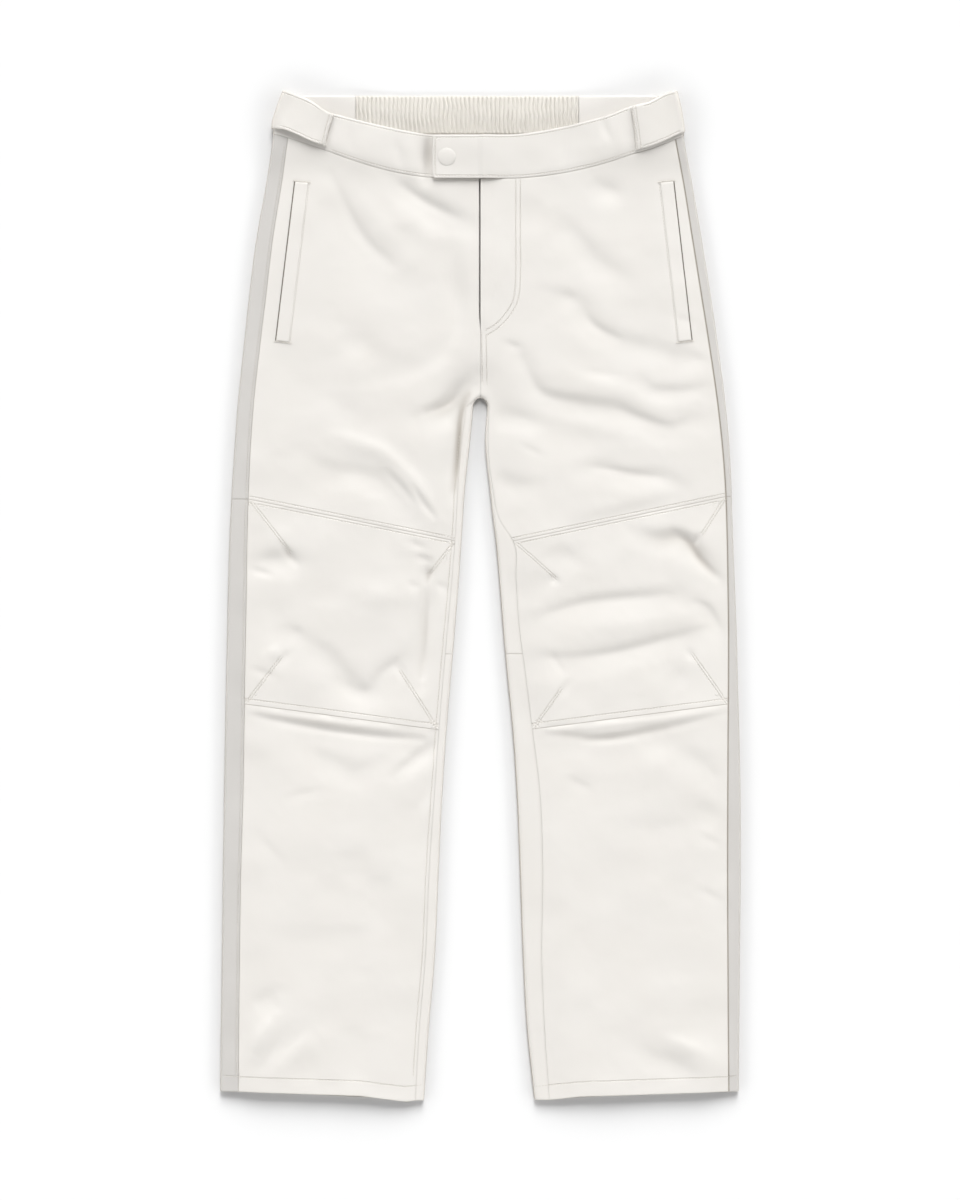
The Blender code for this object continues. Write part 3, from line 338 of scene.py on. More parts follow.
# %% Folds of the legs
def inner_fold(side, down):
    """The inner fold of a leg, which closes into the arch at the crotch."""
    straight = leg_at(side, INNER_FOLD, np.maximum(down, ARCH_BASE))
    up = np.clip((ARCH_BASE - down) / ARCH_HEIGHT, 0.0, 1.0)
    return straight * np.sqrt(1 - up * up)


def inner_seam(side, down):
    """The inner seam on the front: the centre line above the crotch, the edge of the wrap below it."""
    low = np.maximum(down, ARCH_BASE)
    wrap = leg_at(side, INNER_SEAM, low) - leg_at(side, INNER_FOLD, low)
    open_up = np.clip((down - ARCH_TOP) / ARCH_HEIGHT, 0.0, 1.0)
    below = inner_fold(side, down) + wrap * open_up**1.5
    return np.where(down < ARCH_TOP, HALF, np.maximum(below, HALF))


def edge_distance(x, down):
    """Distance in from the nearest fold: the outer folds, the inner folds and the arch."""
    found = np.zeros(np.shape(x))
    for side, _ in SIDES:
        across = np.maximum(x * side, 0.0)
        outer = leg_at(side, OUTER_FOLD, down) - across
        half_gap = inner_fold(side, np.maximum(down, ARCH_BASE))
        up = np.maximum(ARCH_BASE - down, 0.0)
        ray = np.hypot(across, up)
        scaled = np.hypot(across / half_gap, up / ARCH_HEIGHT)
        round_arch = ray * (1 - 1 / np.maximum(scaled, 1e-6))
        inner = np.where(down < ARCH_BASE, round_arch, across - half_gap)
        found = np.where(x * side >= 0, np.minimum(outer, inner), found)
    return found


# %% Relief of the creases
DARK_SIDE = 0.5
SPREAD, LOWER_SPREAD = 1.025, 0.225
END_STRENGTH, END_PHASE = 0.2, 0.06


def curve(places, parts=4):
    """A smooth curve through some places, as a line of short straight parts."""
    table = np.column_stack((np.arange(len(places)), places)).astype(float)
    at = np.linspace(0.0, len(places) - 1.0, parts * (len(places) - 1) + 1)
    return np.column_stack((smooth_table(table, 1, at), smooth_table(table, 2, at)))


def crease_relief(x, down, creases):
    """Creases as soft troughs and ridges, steeper on their upper side and faded at their ends."""
    total = np.zeros(np.shape(x))
    for depth, width, places in creases:
        path = curve(places) + (0.0, DARK_SIDE * width)
        low, high = path.min(axis=0) - 3 * width, path.max(axis=0) + 3 * width
        close = (x > low[0]) & (x < high[0]) & (down > low[1]) & (down < high[1])
        if not close.any():
            continue
        near_x, near_down = x[close], down[close]
        lengths = np.hypot(*(path[1:] - path[:-1]).T)
        before = np.concatenate(([0.0], np.cumsum(lengths)))
        nearest = np.full(near_x.shape, 1e9)
        strength = np.zeros(near_x.shape)
        for i, length in enumerate(lengths):
            run = (path[i + 1] - path[i]) / length
            along = (near_x - path[i, 0]) * run[0] + (near_down - path[i, 1]) * run[1]
            inside = np.clip(along, 0.0, length)
            off_x = near_x - path[i, 0] - run[0] * inside
            off_down = near_down - path[i, 1] - run[1] * inside
            distance = np.hypot(off_x, off_down)
            lower = (run[0] * off_down - run[1] * off_x) / np.maximum(distance, 1e-6)
            reach = distance / (width * (SPREAD + LOWER_SPREAD * lower))
            phase = END_PHASE + (1 - 2 * END_PHASE) * (before[i] + inside) / before[-1]
            fade = END_STRENGTH + (1 - END_STRENGTH) * np.sin(np.pi * phase)
            closer = distance < nearest
            strength = np.where(closer, depth * fade * np.exp(-(reach**2)), strength)
            nearest = np.where(closer, distance, nearest)
        total[close] += strength
    return total


def seam_puckers(x, down):
    """Short ripples beside the knee seams, where two rows of stitching draw the leather together."""
    total = np.zeros(np.shape(x))
    for side, _ in SIDES:
        top, foot = KNEE_TOP[side], KNEE_BOTTOM[side]
        for line, sign, size in ((top, 1, 0.5), (foot, 1, 0.7), (foot, -1, 0.4)):
            off = (down - line_down(line, x * side)) * sign
            fade = np.exp(-np.abs(off) / 14.0) * (off > 0) * ease(off / 4.0) * (x * side > 0)
            total += 0.7 * size * fade * soft_noise(x, 0.3 * down, 13.0, 5 + side)
    return total


# %% [markdown]
# The surface function puts the layers together. Near a fold the leather turns over on a 3 mm radius, so its
# height follows a circle there, and the outward normal turns from up to sideways to down.


# %% The whole surface
UNEVEN = ((0.7, 62.0, 1), (0.4, 27.0, 2), (0.08, 9.0, 3))


def front_height(x, down, distance):
    """How far the front layer stands above its lowest lie: the air in the leg, the creases and the fly."""
    puff = PUFF * ease(distance / PUFF_EASE)
    fly = FLY_LIFT * np.exp(-((x / FLY_WIDTH) ** 2)) * ease((FLY_END - down) / 20.0) * (x > 0)
    main = RELIEF_LIMIT * np.tanh(crease_relief(x, down, MAIN_CREASES) / RELIEF_LIMIT)
    fine = crease_relief(x, down, FINE_CREASES) + seam_puckers(x, down)
    uneven = sum(height * soft_noise(x, down, size, seed) for height, size, seed in UNEVEN)
    return puff + (main + fine + uneven) * ease(distance / RELIEF_EASE) + fly


BAND_RISE, TAB_RISE, TAB_RISE_SIDE = (90.0, 35.0), (100.0, 45.0), (88.0, 52.0)


def rise(x, down):
    """How far both layers stand off the floor, on the thick waistband and the side tabs beneath them."""
    band = BAND_LIFT * ease((BAND_RISE[0] - down) / BAND_RISE[1])
    aside = ease((np.abs(x) - TAB_RISE_SIDE[0]) / TAB_RISE_SIDE[1])
    tab = (TAB_LIFT - BAND_LIFT) * ease((TAB_RISE[0] - down) / TAB_RISE[1]) * aside
    return band + tab


def surface(x, down, face):
    """The outer surface of the pants and its outward normal, at given places on the front or the back."""
    step = 0.05
    lean = np.clip(1 - edge_distance(x, down) / FOLD_RADIUS, 0.0, 1.0)
    upright = np.sqrt(1 - lean * lean)
    front = face == FRONT

    def height(x, down):
        near = edge_distance(x, down)
        behind = crease_relief(x, down, BACK_CREASES) * ease(near / RELIEF_EASE)
        return np.where(front, front_height(x, down, near), behind) + rise(x, down)

    z = height(x, down) + FOLD_RADIUS * (1 + face * upright)
    away_x = (edge_distance(x - step, down) - edge_distance(x + step, down)) / (2 * step)
    away_y = (edge_distance(x, down + step) - edge_distance(x, down - step)) / (2 * step)
    slope_x = (height(x + step, down) - height(x - step, down)) / (2 * step)
    slope_y = (height(x, down - step) - height(x, down + step)) / (2 * step)
    away = np.maximum(np.hypot(away_x, away_y), 1e-9)
    normal = np.stack(
        (
            lean * away_x / away - face * upright * slope_x,
            lean * away_y / away - face * upright * slope_y,
            face * upright,
        ),
        axis=-1,
    )
    normal /= np.linalg.norm(normal, axis=-1, keepdims=True)
    return np.stack((x, LENGTH / 2 - down, z), axis=-1), normal


crotch, _ = surface(np.array([40.0]), np.array([300.0]), FRONT)
print("the leather beside the fly stands", round(float(crotch[0, 2]), 1), "mm over the floor")

# %% [markdown]
# ## Shader maths
# Leather needs a few sums on masks and noises. Writing them as node trees by hand is slow to read, so a
# small class wraps one socket and turns Python's operators into Math nodes. Every other node comes from one
# method.


# %% A value in a shader
class Shade:
    """One output of a shader node. Sums, products and the like add Math nodes to its tree."""

    def __init__(self, tree, socket=None):
        self.tree, self.socket = tree, socket

    def node(self, kind, settings, sockets, output=0):
        """Adds a node, with its settings first and then a value or a link for each of its sockets."""
        made = self.tree.nodes.new("ShaderNode" + kind)
        for name, value in settings.items():
            setattr(made, name, value)
        for key, value in sockets.items():
            if isinstance(value, Shade):
                self.tree.links.new(value.socket, made.inputs[key])
            else:
                made.inputs[key].default_value = value
        return Shade(self.tree, made.outputs[output])

    def maths(self, operation, *values):
        return self.node("Math", {"operation": operation}, dict(enumerate(values)))

    def mix(self, factor, first, second):
        return self.node("Mix", {"data_type": "RGBA"}, {"Factor": factor, 6: first, 7: second}, 2)

    def texture(self, kind, **sockets):
        """A texture over the object's own coordinates."""
        place = self.node("TexCoord", {}, {}, "Object")
        return self.node("Tex" + kind, {}, {"Vector": place, **sockets})

    def bump(self, strength, distance):
        """Normals that follow this value as a height."""
        return self.node("Bump", {}, {"Height": self, "Strength": strength, "Distance": distance}, "Normal")

    def feed(self, shader, name):
        self.tree.links.new(self.socket, shader.inputs[name])

    def __add__(self, other):
        return self.maths("ADD", self, other)

    def __sub__(self, other):
        return self.maths("SUBTRACT", self, other)

    def __rsub__(self, other):
        return self.maths("SUBTRACT", other, self)

    def __mul__(self, other):
        return self.maths("MULTIPLY", self, other)

    def __truediv__(self, other):
        return self.maths("DIVIDE", self, other)

    def __abs__(self):
        return self.maths("ABSOLUTE", self)

    __radd__, __rmul__ = __add__, __mul__


# %% [markdown]
# ## Leather
# Smooth full-grain leather has tiny domed pores, a faint cloudy unevenness of tone and a soft, half-matt
# finish. Pores come from a Voronoi pattern a millimetre or so wide and go into a bump with finer specks; the
# clouds only tint the colour. The attribute "line" tells the shader how far a place is from a sewn line, so
# that each line gets its thin groove, whatever the size of the mesh's faces, and a touch of painted shade in
# its colour. A second attribute mixes painted shade, a dark brown, into the colour along cut edges and
# seams, where the leather turns under and in the deepest folds.


# %% Leather materials
# Painted shade: the dark brown that is mixed into the leather's colour at edges, seams and deep folds.
PAINTED_SHADE_COLOUR = (0.24, 0.20, 0.15, 1.0)
GROOVE_WIDTH, GROOVE_DEPTH, GRAIN_DEPTH = 0.9, 3.0, 0.0001


def new_material(name):
    """A material with its Principled shader, and a Shade to add nodes from."""
    material = bpy.data.materials.new(name)
    material.use_nodes = True
    return material, material.node_tree.nodes["Principled BSDF"], Shade(material.node_tree)


def new_leather(name, colour, clouds_and_groove_shade, roughness, grain):
    """A leather of a main colour, a darker one for its clouds and painted groove shade, and a grain depth.
    """
    material, shader, start = new_material(name)
    clouds = start.texture("Noise", Scale=14.0, Detail=3.0, Roughness=0.55)
    specks = start.texture("Noise", Scale=420.0, Detail=2.0, Roughness=0.6)
    pores = start.texture("Voronoi", Scale=850.0, Randomness=1.0)
    names = ("line", "near", "gap", "painted_shade")
    line, near, gap, painted_shade = (start.node("Attribute", {"attribute_name": kept}, {}, "Fac") for kept in names)
    groove = start.maths("MAXIMUM", 1.0 - abs(abs(line) - gap) / GROOVE_WIDTH, 0.0) * near
    # The clouds are real tone; each sewn groove also darkens the colour, painted shade on top of its bump.
    tone = start.maths("MINIMUM", (clouds - 0.3) * 0.9 + groove * 0.8, 1.0)
    mixed = start.mix(tone, (*colour, 1.0), (*clouds_and_groove_shade, 1.0))
    # Painted shade: the per-vertex darkness pulls the colour towards the dark brown.
    start.mix(painted_shade, mixed, PAINTED_SHADE_COLOUR).feed(shader, "Base Color")
    (roughness - 0.06 + 0.12 * specks).feed(shader, "Roughness")
    height = pores * 0.6 + specks * 0.4 - groove * GROOVE_DEPTH / grain
    height.bump(1.0, GRAIN_DEPTH * grain).feed(shader, "Normal")
    return material


def flecked(name, scale, dark, light, roughness):
    """A material with fine flecks between two colours, with its shader and the flecks."""
    material, shader, start = new_material(name)
    flecks = start.texture("Noise", Scale=scale)
    tone = start.node("ValToRGB", {}, {"Fac": flecks})
    for stop, colour in zip(tone.socket.node.color_ramp.elements, (dark, light)):
        stop.color = (*colour, 1.0)
    tone.feed(shader, "Base Color")
    shader.inputs["Roughness"].default_value = roughness
    return material, shader, flecks


leather = new_leather("off_white_leather", (0.709, 0.686, 0.652), (0.680, 0.652, 0.610), 0.46, 0.55)
grey = new_leather("pale_grey_leather", (0.555, 0.538, 0.516), (0.525, 0.507, 0.481), 0.48, 0.55)
gathered = new_leather("gathered_waist_leather", (0.706, 0.678, 0.626), (0.662, 0.626, 0.560), 0.52, 0.6)
# Painted light: a lighter copy of the off-white leather for the back band's inner face, which lies in shade.
lightened_band_leather = new_leather("back_band_leather_painted_light", (0.775, 0.750, 0.714), (0.745, 0.715, 0.670), 0.5, 0.5)
tabs = new_leather("side_tab_leather", (0.668, 0.646, 0.612), (0.640, 0.612, 0.572), 0.46, 0.55)
print("made", leather.name, grey.name, gathered.name, lightened_band_leather.name, tabs.name)

# %% [markdown]
# ## Laying a sheet
# A piece of leather starts as a flat grid from the Add menu. Its points are moved to their places on the
# surface, its edges are rolled under towards the seams, and a Solidify modifier gives it a thickness on the
# inside. A small bevel then softens the cut edge. Grid lines lie closer together beside the edges, where
# the leather turns down.


# %% Lay a sheet of leather
ROLLS, ROLL_WIDTH = (0.12, 0.12, 0.3, 0.14), 1.4
BAND_ROLLS = (0.3, 0.3, 0.3, 0.3)
# Painted shade along each sheet's top, foot, first and last edge, where seams and turned edges lie in shade.
EDGE_SHADES = (0.35, 0.35, 0.35, 0.12)
# Painted shade where the leather turns under at a fold: a little on the front, strong on the back's hidden
# underside.
FOLD_SHADE, BACK_SHADE = 0.45, 0.9
STEP = 2.6
NEAR_EDGE = (0.0, 0.6, 1.3, 2.2, 3.4)


def spaced(length, step=STEP):
    """Places from 0 to 1 along a length in millimetres, close together near both ends."""
    middle = np.linspace(NEAR_EDGE[-1], length - NEAR_EDGE[-1], max(3, round(length / step)))
    far = length - np.array(NEAR_EDGE[-2::-1])
    return np.concatenate((NEAR_EDGE[:-1], middle, far)) / length


def rolled(points, depths, width=ROLL_WIDTH):
    """How far a sheet turns down beside its top, foot, first and last edge, for a depth at each of them."""
    down = np.zeros(points.shape[:2])
    for axis in (0, 1):
        steps = np.linalg.norm(np.diff(points, axis=axis), axis=-1)
        start = np.insert(np.cumsum(steps, axis=axis), 0, 0.0, axis=axis)
        end = np.take(start, [-1], axis=axis) - start
        for depth, away in zip(depths[2 * axis : 2 * axis + 2], (start, end)):
            down = np.maximum(down, depth * (1 - ease(away / width)))
    return down


def places_of(mesh):
    """A mesh's vertices as rows of x, y and z."""
    flat = np.empty(len(mesh.vertices) * 3)
    mesh.vertices.foreach_get("co", flat)
    return flat.reshape(-1, 3)


def keep(mesh, name, values):
    """Keeps a value at each vertex, for the shader to read."""
    mesh.attributes.new(name, "FLOAT", "POINT").data.foreach_set("value", values.astype(np.float32))


def modify(piece, kind, **settings):
    """Adds a modifier to the active piece and applies it."""
    bpy.ops.object.modifier_add(type=kind)
    for name, value in settings.items():
        setattr(piece.modifiers[-1], name, value)
    bpy.ops.object.modifier_apply(modifier=piece.modifiers[-1].name)


def dress(piece, node=None):
    """Fixes a piece to the part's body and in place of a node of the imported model."""
    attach(piece, "root")
    if node:
        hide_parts(node)


def darkened(x, down, face, edge_shades):
    """How much painted shade each place gets: in deep folds, where it turns under and along its four edges.
    """
    turned = np.clip(1 - edge_distance(x, down) / FOLD_RADIUS, 0.0, 1.0)
    painted_folds = FOLD_SHADE * turned**2 + crease_relief(x, down, PAINTED_FOLD_SHADOWS)
    painted_shade = np.where(face == FRONT, painted_folds, BACK_SHADE * ease(turned * 2))
    for lines, (first, last) in ((painted_shade, edge_shades[:2]), (painted_shade.T, edge_shades[2:])):
        for edge, beside, strength in ((0, 1, first), (-1, -2, last)):
            lines[edge] = np.maximum(lines[edge], strength)
            lines[beside] = np.maximum(lines[beside], 0.5 * strength * (strength > 0.8))
    return painted_shade


def lay(
    name, place, material, wall=LEATHER, lift=0.0, roll=ROLLS, inside=False, soften=0.0, lines=(), edge_shades=EDGE_SHADES
):
    """Makes a sheet on a grid of places (x, down, face) and gives it a wall towards its inside."""
    x, down, face = (np.array(a, dtype=float) for a in np.broadcast_arrays(*place))
    rows, columns = x.shape
    points, normals = surface(x, down, face)
    if inside:
        normals = -normals
    points = points + normals * (np.broadcast_to(lift, x.shape) - rolled(points, roll))[..., None]
    bpy.ops.object.select_all(action="DESELECT")
    bpy.ops.mesh.primitive_grid_add(x_subdivisions=columns - 1, y_subdivisions=rows - 1, size=1)
    sheet = bpy.context.object
    sheet.name = sheet.data.name = name
    flat = places_of(sheet.data)
    column = np.rint((flat[:, 0] + 0.5) * (columns - 1)).astype(int)
    row = np.rint((0.5 - flat[:, 1]) * (rows - 1)).astype(int)
    sheet.data.vertices.foreach_set("co", (points[row, column] * MM).ravel())
    mark_lines(sheet.data, x[row, column], down[row, column], lines)
    keep(sheet.data, "painted_shade", darkened(x, down, face, edge_shades)[row, column])
    sheet.data.update()
    middle = sheet.data.polygons[len(sheet.data.polygons) // 2]
    corner = middle.vertices[0]
    if np.dot(middle.normal, normals[row[corner], column[corner]]) < 0:
        sheet.data.flip_normals()
    modify(sheet, "SOLIDIFY", thickness=wall * MM, offset=-1.0)
    if soften:
        angle = np.radians(50)
        modify(sheet, "BEVEL", width=soften * MM, segments=2, limit_method="ANGLE", angle_limit=angle)
    bpy.ops.object.shade_smooth_by_angle(angle=np.radians(40))
    sheet.data.materials.clear()
    sheet.data.materials.append(material)
    print(name, len(sheet.data.polygons), "faces")
    return sheet


# %% [markdown]
# ## Sewn lines
# Darts and rows of topstitching are thin lines. Each vertex keeps its signed distance from the nearest such
# line, which the leather shader reads. A double row is kept as its middle line and half the distance
# between its two rows. The same lines carry the thread further down, so grooves and stitches always agree.

# %% Lines for darts and topstitching
def mark_lines(mesh, x, down, lines):
    """Keeps, for each vertex, its signed distance from the nearest of some lines, in millimetres."""
    line, near, gap = np.zeros(len(x)), np.zeros(len(x)), np.zeros(len(x))
    nearest = np.full(len(x), 1e9)
    for half_gap, places in lines:
        places = np.array(places, dtype=float)
        for a, b in zip(places[:-1], places[1:]):
            length = np.hypot(*(b - a))
            run = (b - a) / length
            along = (x - a[0]) * run[0] + (down - a[1]) * run[1]
            off = run[0] * (down - a[1]) - run[1] * (x - a[0])
            past = np.maximum(np.maximum(-along, along - length), 0.0)
            distance = np.hypot(off, past)
            closer = distance < nearest
            line = np.where(closer, off, line)
            gap = np.where(closer, half_gap, gap)
            near = np.where(closer, (np.abs(off) < half_gap + 4.0) & (past < 1.0), near)
            nearest = np.where(closer, distance, nearest)
    for name, values in (("line", line), ("near", near), ("gap", gap)):
        keep(mesh, name, values)


# %% Where the lines run
KNEE_ROWS_APART, DOUBLE_ROW, DART_ROW = 3.3, 2.5, 1.3
FLY_J = curve(((40.5, 97), (40.5, 150), (40.5, 200), (38, 226), (30, 241), (19.5, 253), (6, 262)))
DARTS = {
    RIGHT: (
        ((-248, 443), (-205, 498)),
        ((-252, 660), (-215, 612)),
        ((-28, 487), (-54, 521)),
        ((-47, 688), (-86, 627)),
    ),
    LEFT: (
        ((39, 489), (81, 526)),
        ((264, 440), (239, 479)),
        ((58, 687), (87, 646)),
        ((265, 660), (229, 609)),
    ),
}


def on_seam(side, line, shift):
    """A line beside a cross seam, from the side seam to the inner seam."""
    ends = []
    for edge in (SIDE_SEAM, INNER_SEAM):
        down = 0.5 * (line[0][1] + line[1][1])
        for _ in range(8):
            across = float(leg_at(side, edge, down))
            down = line_down(line, across)
        ends.append((side * across, down + shift))
    return ends


SEAM_ROW, STRIPE_ROW = 3.4, 2.4
PANEL_LINES = []
for side, _ in SIDES:
    top, bottom = on_seam(side, KNEE_TOP[side], 0.0), on_seam(side, KNEE_BOTTOM[side], -6.0)
    PANEL_LINES += [(KNEE_ROWS_APART, top), (0.0, bottom)]
    PANEL_LINES += [(DART_ROW, dart) for dart in DARTS[side]]
    ends = [float(leg_at(side, edge, 1065.0)) for edge in (INNER_FOLD, OUTER_FOLD)]
    hem = np.linspace(ends[0] + 3.5, ends[1] - 3.5, 24)
    hem_down = np.interp(hem, *zip(*HEM[side])) - HEM_HEIGHT
    PANEL_LINES.append((0.0, np.column_stack((side * hem, hem_down))))
for edge, shift, top in ((INNER_SEAM, SEAM_ROW, 372.0), (SIDE_SEAM, STRIPE_ROW, 62.0)):
    places = np.linspace(top, 1062.0, 60)
    PANEL_LINES.append((0.0, np.column_stack((-smooth_table(RIGHT_LEG, edge, places) - shift, places))))
PANEL_LINES += [(DOUBLE_ROW, FLY_J), (DOUBLE_ROW, ((3.5, 262), (4.5, 316)))]
print(len(PANEL_LINES), "sewn lines on the panels")

# %% [markdown]
# ## Front panels
# Each leg's front is three panels: thigh, knee and shin. A panel is laid out between guide lines, such as
# the waist seam above and the knee seam below, and from the side seam to the inner seam. The places are
# found in a few rounds, because how wide the leg is depends on how far down a place is, and the other way
# round.


# %% Front panels
def between(guides, shares):
    """Rows laid between guide lines. Each list of shares divides the space from one guide to the next."""
    rows = [(0, 0.0)] + [(i, t) for i, part in enumerate(shares) for t in part if t > 0]

    def down_at(across):
        down = np.empty(across.shape)
        for k, (i, t) in enumerate(rows):
            down[k] = blend(guides[i](across[k]), guides[i + 1](across[k]), t)
        return down

    return down_at, len(rows)


def front_panel(side, guides, shares):
    """Places of a front panel, its columns spread from the side seam to the inner seam."""
    down_at, rows = between(guides, shares)
    share = spaced(225.0)[None, :] * np.ones((rows, 1))
    across = blend(240.0, 20.0, share)
    for _ in range(14):
        down = down_at(across)
        side_seam = leg_at(side, SIDE_SEAM, down) - HALF
        below = np.where(down > ARCH_TOP + 1.0, HALF, 0.0)
        opening = FLY_OPENING * ease((down - 92.0) / 6.0) * ease((FLY_END - down) / 26.0) * (side == RIGHT)
        across = blend(side_seam, inner_seam(side, down) + below + opening, share)
    return side * across, down, FRONT


def seam(line, shift):
    return lambda across: line_down(line, across) + shift


def below_waist(side):
    return lambda across: waist_at(side, WAIST_SEAM, np.abs(across)) + HALF


def hem_line(side):
    return lambda across: np.interp(across, *zip(*HEM[side]))


def halves(length):
    """Spaced places of a length that is cut at one end only: fine at the start, and fine at the end."""
    places = spaced(2 * length)
    first = 2 * places[places <= 0.5]
    return first / first[-1], (1 - (first / first[-1]))[::-1]


CROTCH_SHIFTS = (0.4, 1.2, 3.0, 6.0, 10.0)
for side, name in SIDES:
    upper, _ = halves(210.0)
    _, lower = halves(170.0)
    guides = [below_waist(side), seam(CROTCH_LINE[side], -0.005)]
    guides += [seam(CROTCH_LINE[side], shift) for shift in CROTCH_SHIFTS] + [seam(KNEE_TOP[side], -HALF)]
    thigh = front_panel(side, guides, [upper, *[(1.0,)] * len(CROTCH_SHIFTS), lower])
    knee = front_panel(side, [seam(KNEE_TOP[side], HALF), seam(KNEE_BOTTOM[side], -HALF)], [spaced(215.0)])
    shin = front_panel(side, [seam(KNEE_BOTTOM[side], HALF), hem_line(side)], [spaced(410.0)])
    for part, place in (("thigh", thigh), ("knee", knee), ("shin", shin)):
        # Painted shade along the panel's edges, darkest down the left leg's side seam.
        edge_shades = (0.4, 0.5, 0.9 if side == LEFT else 0.5, 0.12)
        panel = lay(f"leather_{part}_{name}", place, leather, lines=PANEL_LINES, edge_shades=edge_shades)
        dress(panel, f"front_{part}_{name}")

# %% [markdown]
# ## Side stripes
# A pale grey stripe covers each outseam. It starts on the front, turns round the outer fold and ends on the
# back, 40 mm wide in all. Measured along the leather, its places pass over the fold without a gap, so we
# lay them by that length and turn it back into a distance across.


# %% Side stripes
QUARTER = FOLD_RADIUS * np.pi / 2


def fold_offset(along):
    """Plan distance in from a fold for a distance along the leather from the fold's crest."""
    turned = FOLD_RADIUS * (1 - np.cos(np.minimum(along, QUARTER) / FOLD_RADIUS))
    return np.where(along < QUARTER, turned, FOLD_RADIUS + along - QUARTER)


def fold_length(offset):
    """The reverse of fold_offset."""
    turned = FOLD_RADIUS * np.arccos(np.clip(1 - offset / FOLD_RADIUS, -1.0, 1.0))
    return np.where(offset < FOLD_RADIUS, turned, QUARTER + offset - FOLD_RADIUS)


def stripe_front(side, down):
    """How much of a stripe shows on the front."""
    return leg_at(side, OUTER_FOLD, down) - leg_at(side, SIDE_SEAM, down)


BACK_LEVEL, BACK_RISE = 150.0, 60.0


def to_side(across):
    """A soft step from the level back of the waist to its side."""
    return ease((across - BACK_LEVEL) / BACK_RISE)


def back_seam(side, across):
    """The waist seam on the back: it leaves the front seam at the fold and runs level along the back."""
    return blend(BACK_SEAM, WAISTS[side][-1, WAIST_SEAM], to_side(across))


def stripe(side, top, foot, at_waist):
    """Places of a stripe between two places down, or from the waist seam."""
    share = spaced(foot - top)[:, None]
    along = spaced(52.0, 1.3)[None, :]
    down = blend(top, foot, share) * np.ones(along.shape)
    for _ in range(6):
        front = stripe_front(side, down)
        ahead = fold_length(front - HALF)
        behind = fold_length(STRIPE_WIDTH - front - HALF)
        place = blend(-ahead, behind, along)
        across = leg_at(side, OUTER_FOLD, down) - fold_offset(np.abs(place))
        face = np.where(place < 0, FRONT, BACK)
        if at_waist:
            behind_seam = back_seam(side, across) + HALF
            start = np.where(face == FRONT, below_waist(side)(across), behind_seam)[:1]
            down = blend(start, foot, share)
    return side * across, down, face


def side_rows(side, line):
    """How far down a cross seam meets the side seam."""
    down = np.array(450.0)
    for _ in range(8):
        down = line_down(line, leg_at(side, SIDE_SEAM, down) - HALF)
    return float(down)


for side, name in SIDES:
    knee_down = side_rows(side, KNEE_TOP[side])
    hem_down = float(hem_line(side)(leg_at(side, SIDE_SEAM, 1080.0)))
    for part, top, foot in (("upper", 50.0, knee_down - HALF), ("lower", knee_down + HALF, hem_down)):
        # Painted shade along the stripe's edges, darkest down the left leg's side seam.
        edge_shades = (0.45, 0.45, 0.9 if side == LEFT else 0.5, 0.45)
        place = stripe(side, top, foot, part == "upper")
        piece = lay(f"stripe_{part}_{name}", place, grey, lines=PANEL_LINES, edge_shades=edge_shades)
        dress(piece, f"side_stripe_{part}_{name}")

# %% [markdown]
# ## Back panels
# The back lies on the table, flat. Each leg has an upper and a lower back panel, which also turn round the
# inner fold and end at the inner seam on the front. Their rows run from the stripe to that seam.


# %% Back panels
BACK_MARGIN = 8.0
BACK_SPLIT = 0.6


def back_places(side, outs, intos, at_waist):
    """Places of a back panel from the stripe's edge across the back and round the inner fold."""
    out, into = outs[:, None].copy(), intos[:, None]
    for _ in range(6):
        start = leg_at(side, OUTER_FOLD, out) - STRIPE_WIDTH + stripe_front(side, out) - HALF
        if at_waist:
            out[0] = back_seam(side, start[0]) + HALF
    ahead = QUARTER + BACK_MARGIN
    crest = inner_fold(side, into)
    end = fold_length(inner_seam(side, into) - crest) - HALF
    turn = np.linspace(0.0, 1.0, 9)[None, 1:]
    along = np.hstack([ahead * (1 - np.linspace(0.0, 1.0, 9)[None, :]) * np.ones(end.shape), -end * turn])
    wrap = crest + fold_offset(np.abs(along))
    above = into < ARCH_TOP
    wrap = np.where(above, HALF + ahead * (1 - np.linspace(0.0, 1.0, along.shape[1])[None, :]), wrap)
    wrap_face = np.where(above | (along >= 0), BACK, FRONT)
    share = spaced(200.0, 6.0)
    share = share[share < 0.99][None, :]
    across = np.hstack([blend(start, wrap[:, :1], share), wrap])
    down = np.hstack([blend(out, into, share), into * np.ones(wrap.shape)])
    face = np.hstack([np.full((len(into), share.shape[1]), BACK), wrap_face])
    if at_waist:
        down[0] = back_seam(side, across[0]) + HALF
    return side * across, down, face


def knee_split(side, edge):
    """How far down the back's cross seam meets the side seam or the inner seam."""
    down = np.array(590.0)
    for _ in range(10):
        across = leg_at(side, edge, down)
        top, foot = line_down(KNEE_TOP[side], across), line_down(KNEE_BOTTOM[side], across)
        down = blend(top, foot, BACK_SPLIT)
    return float(down)


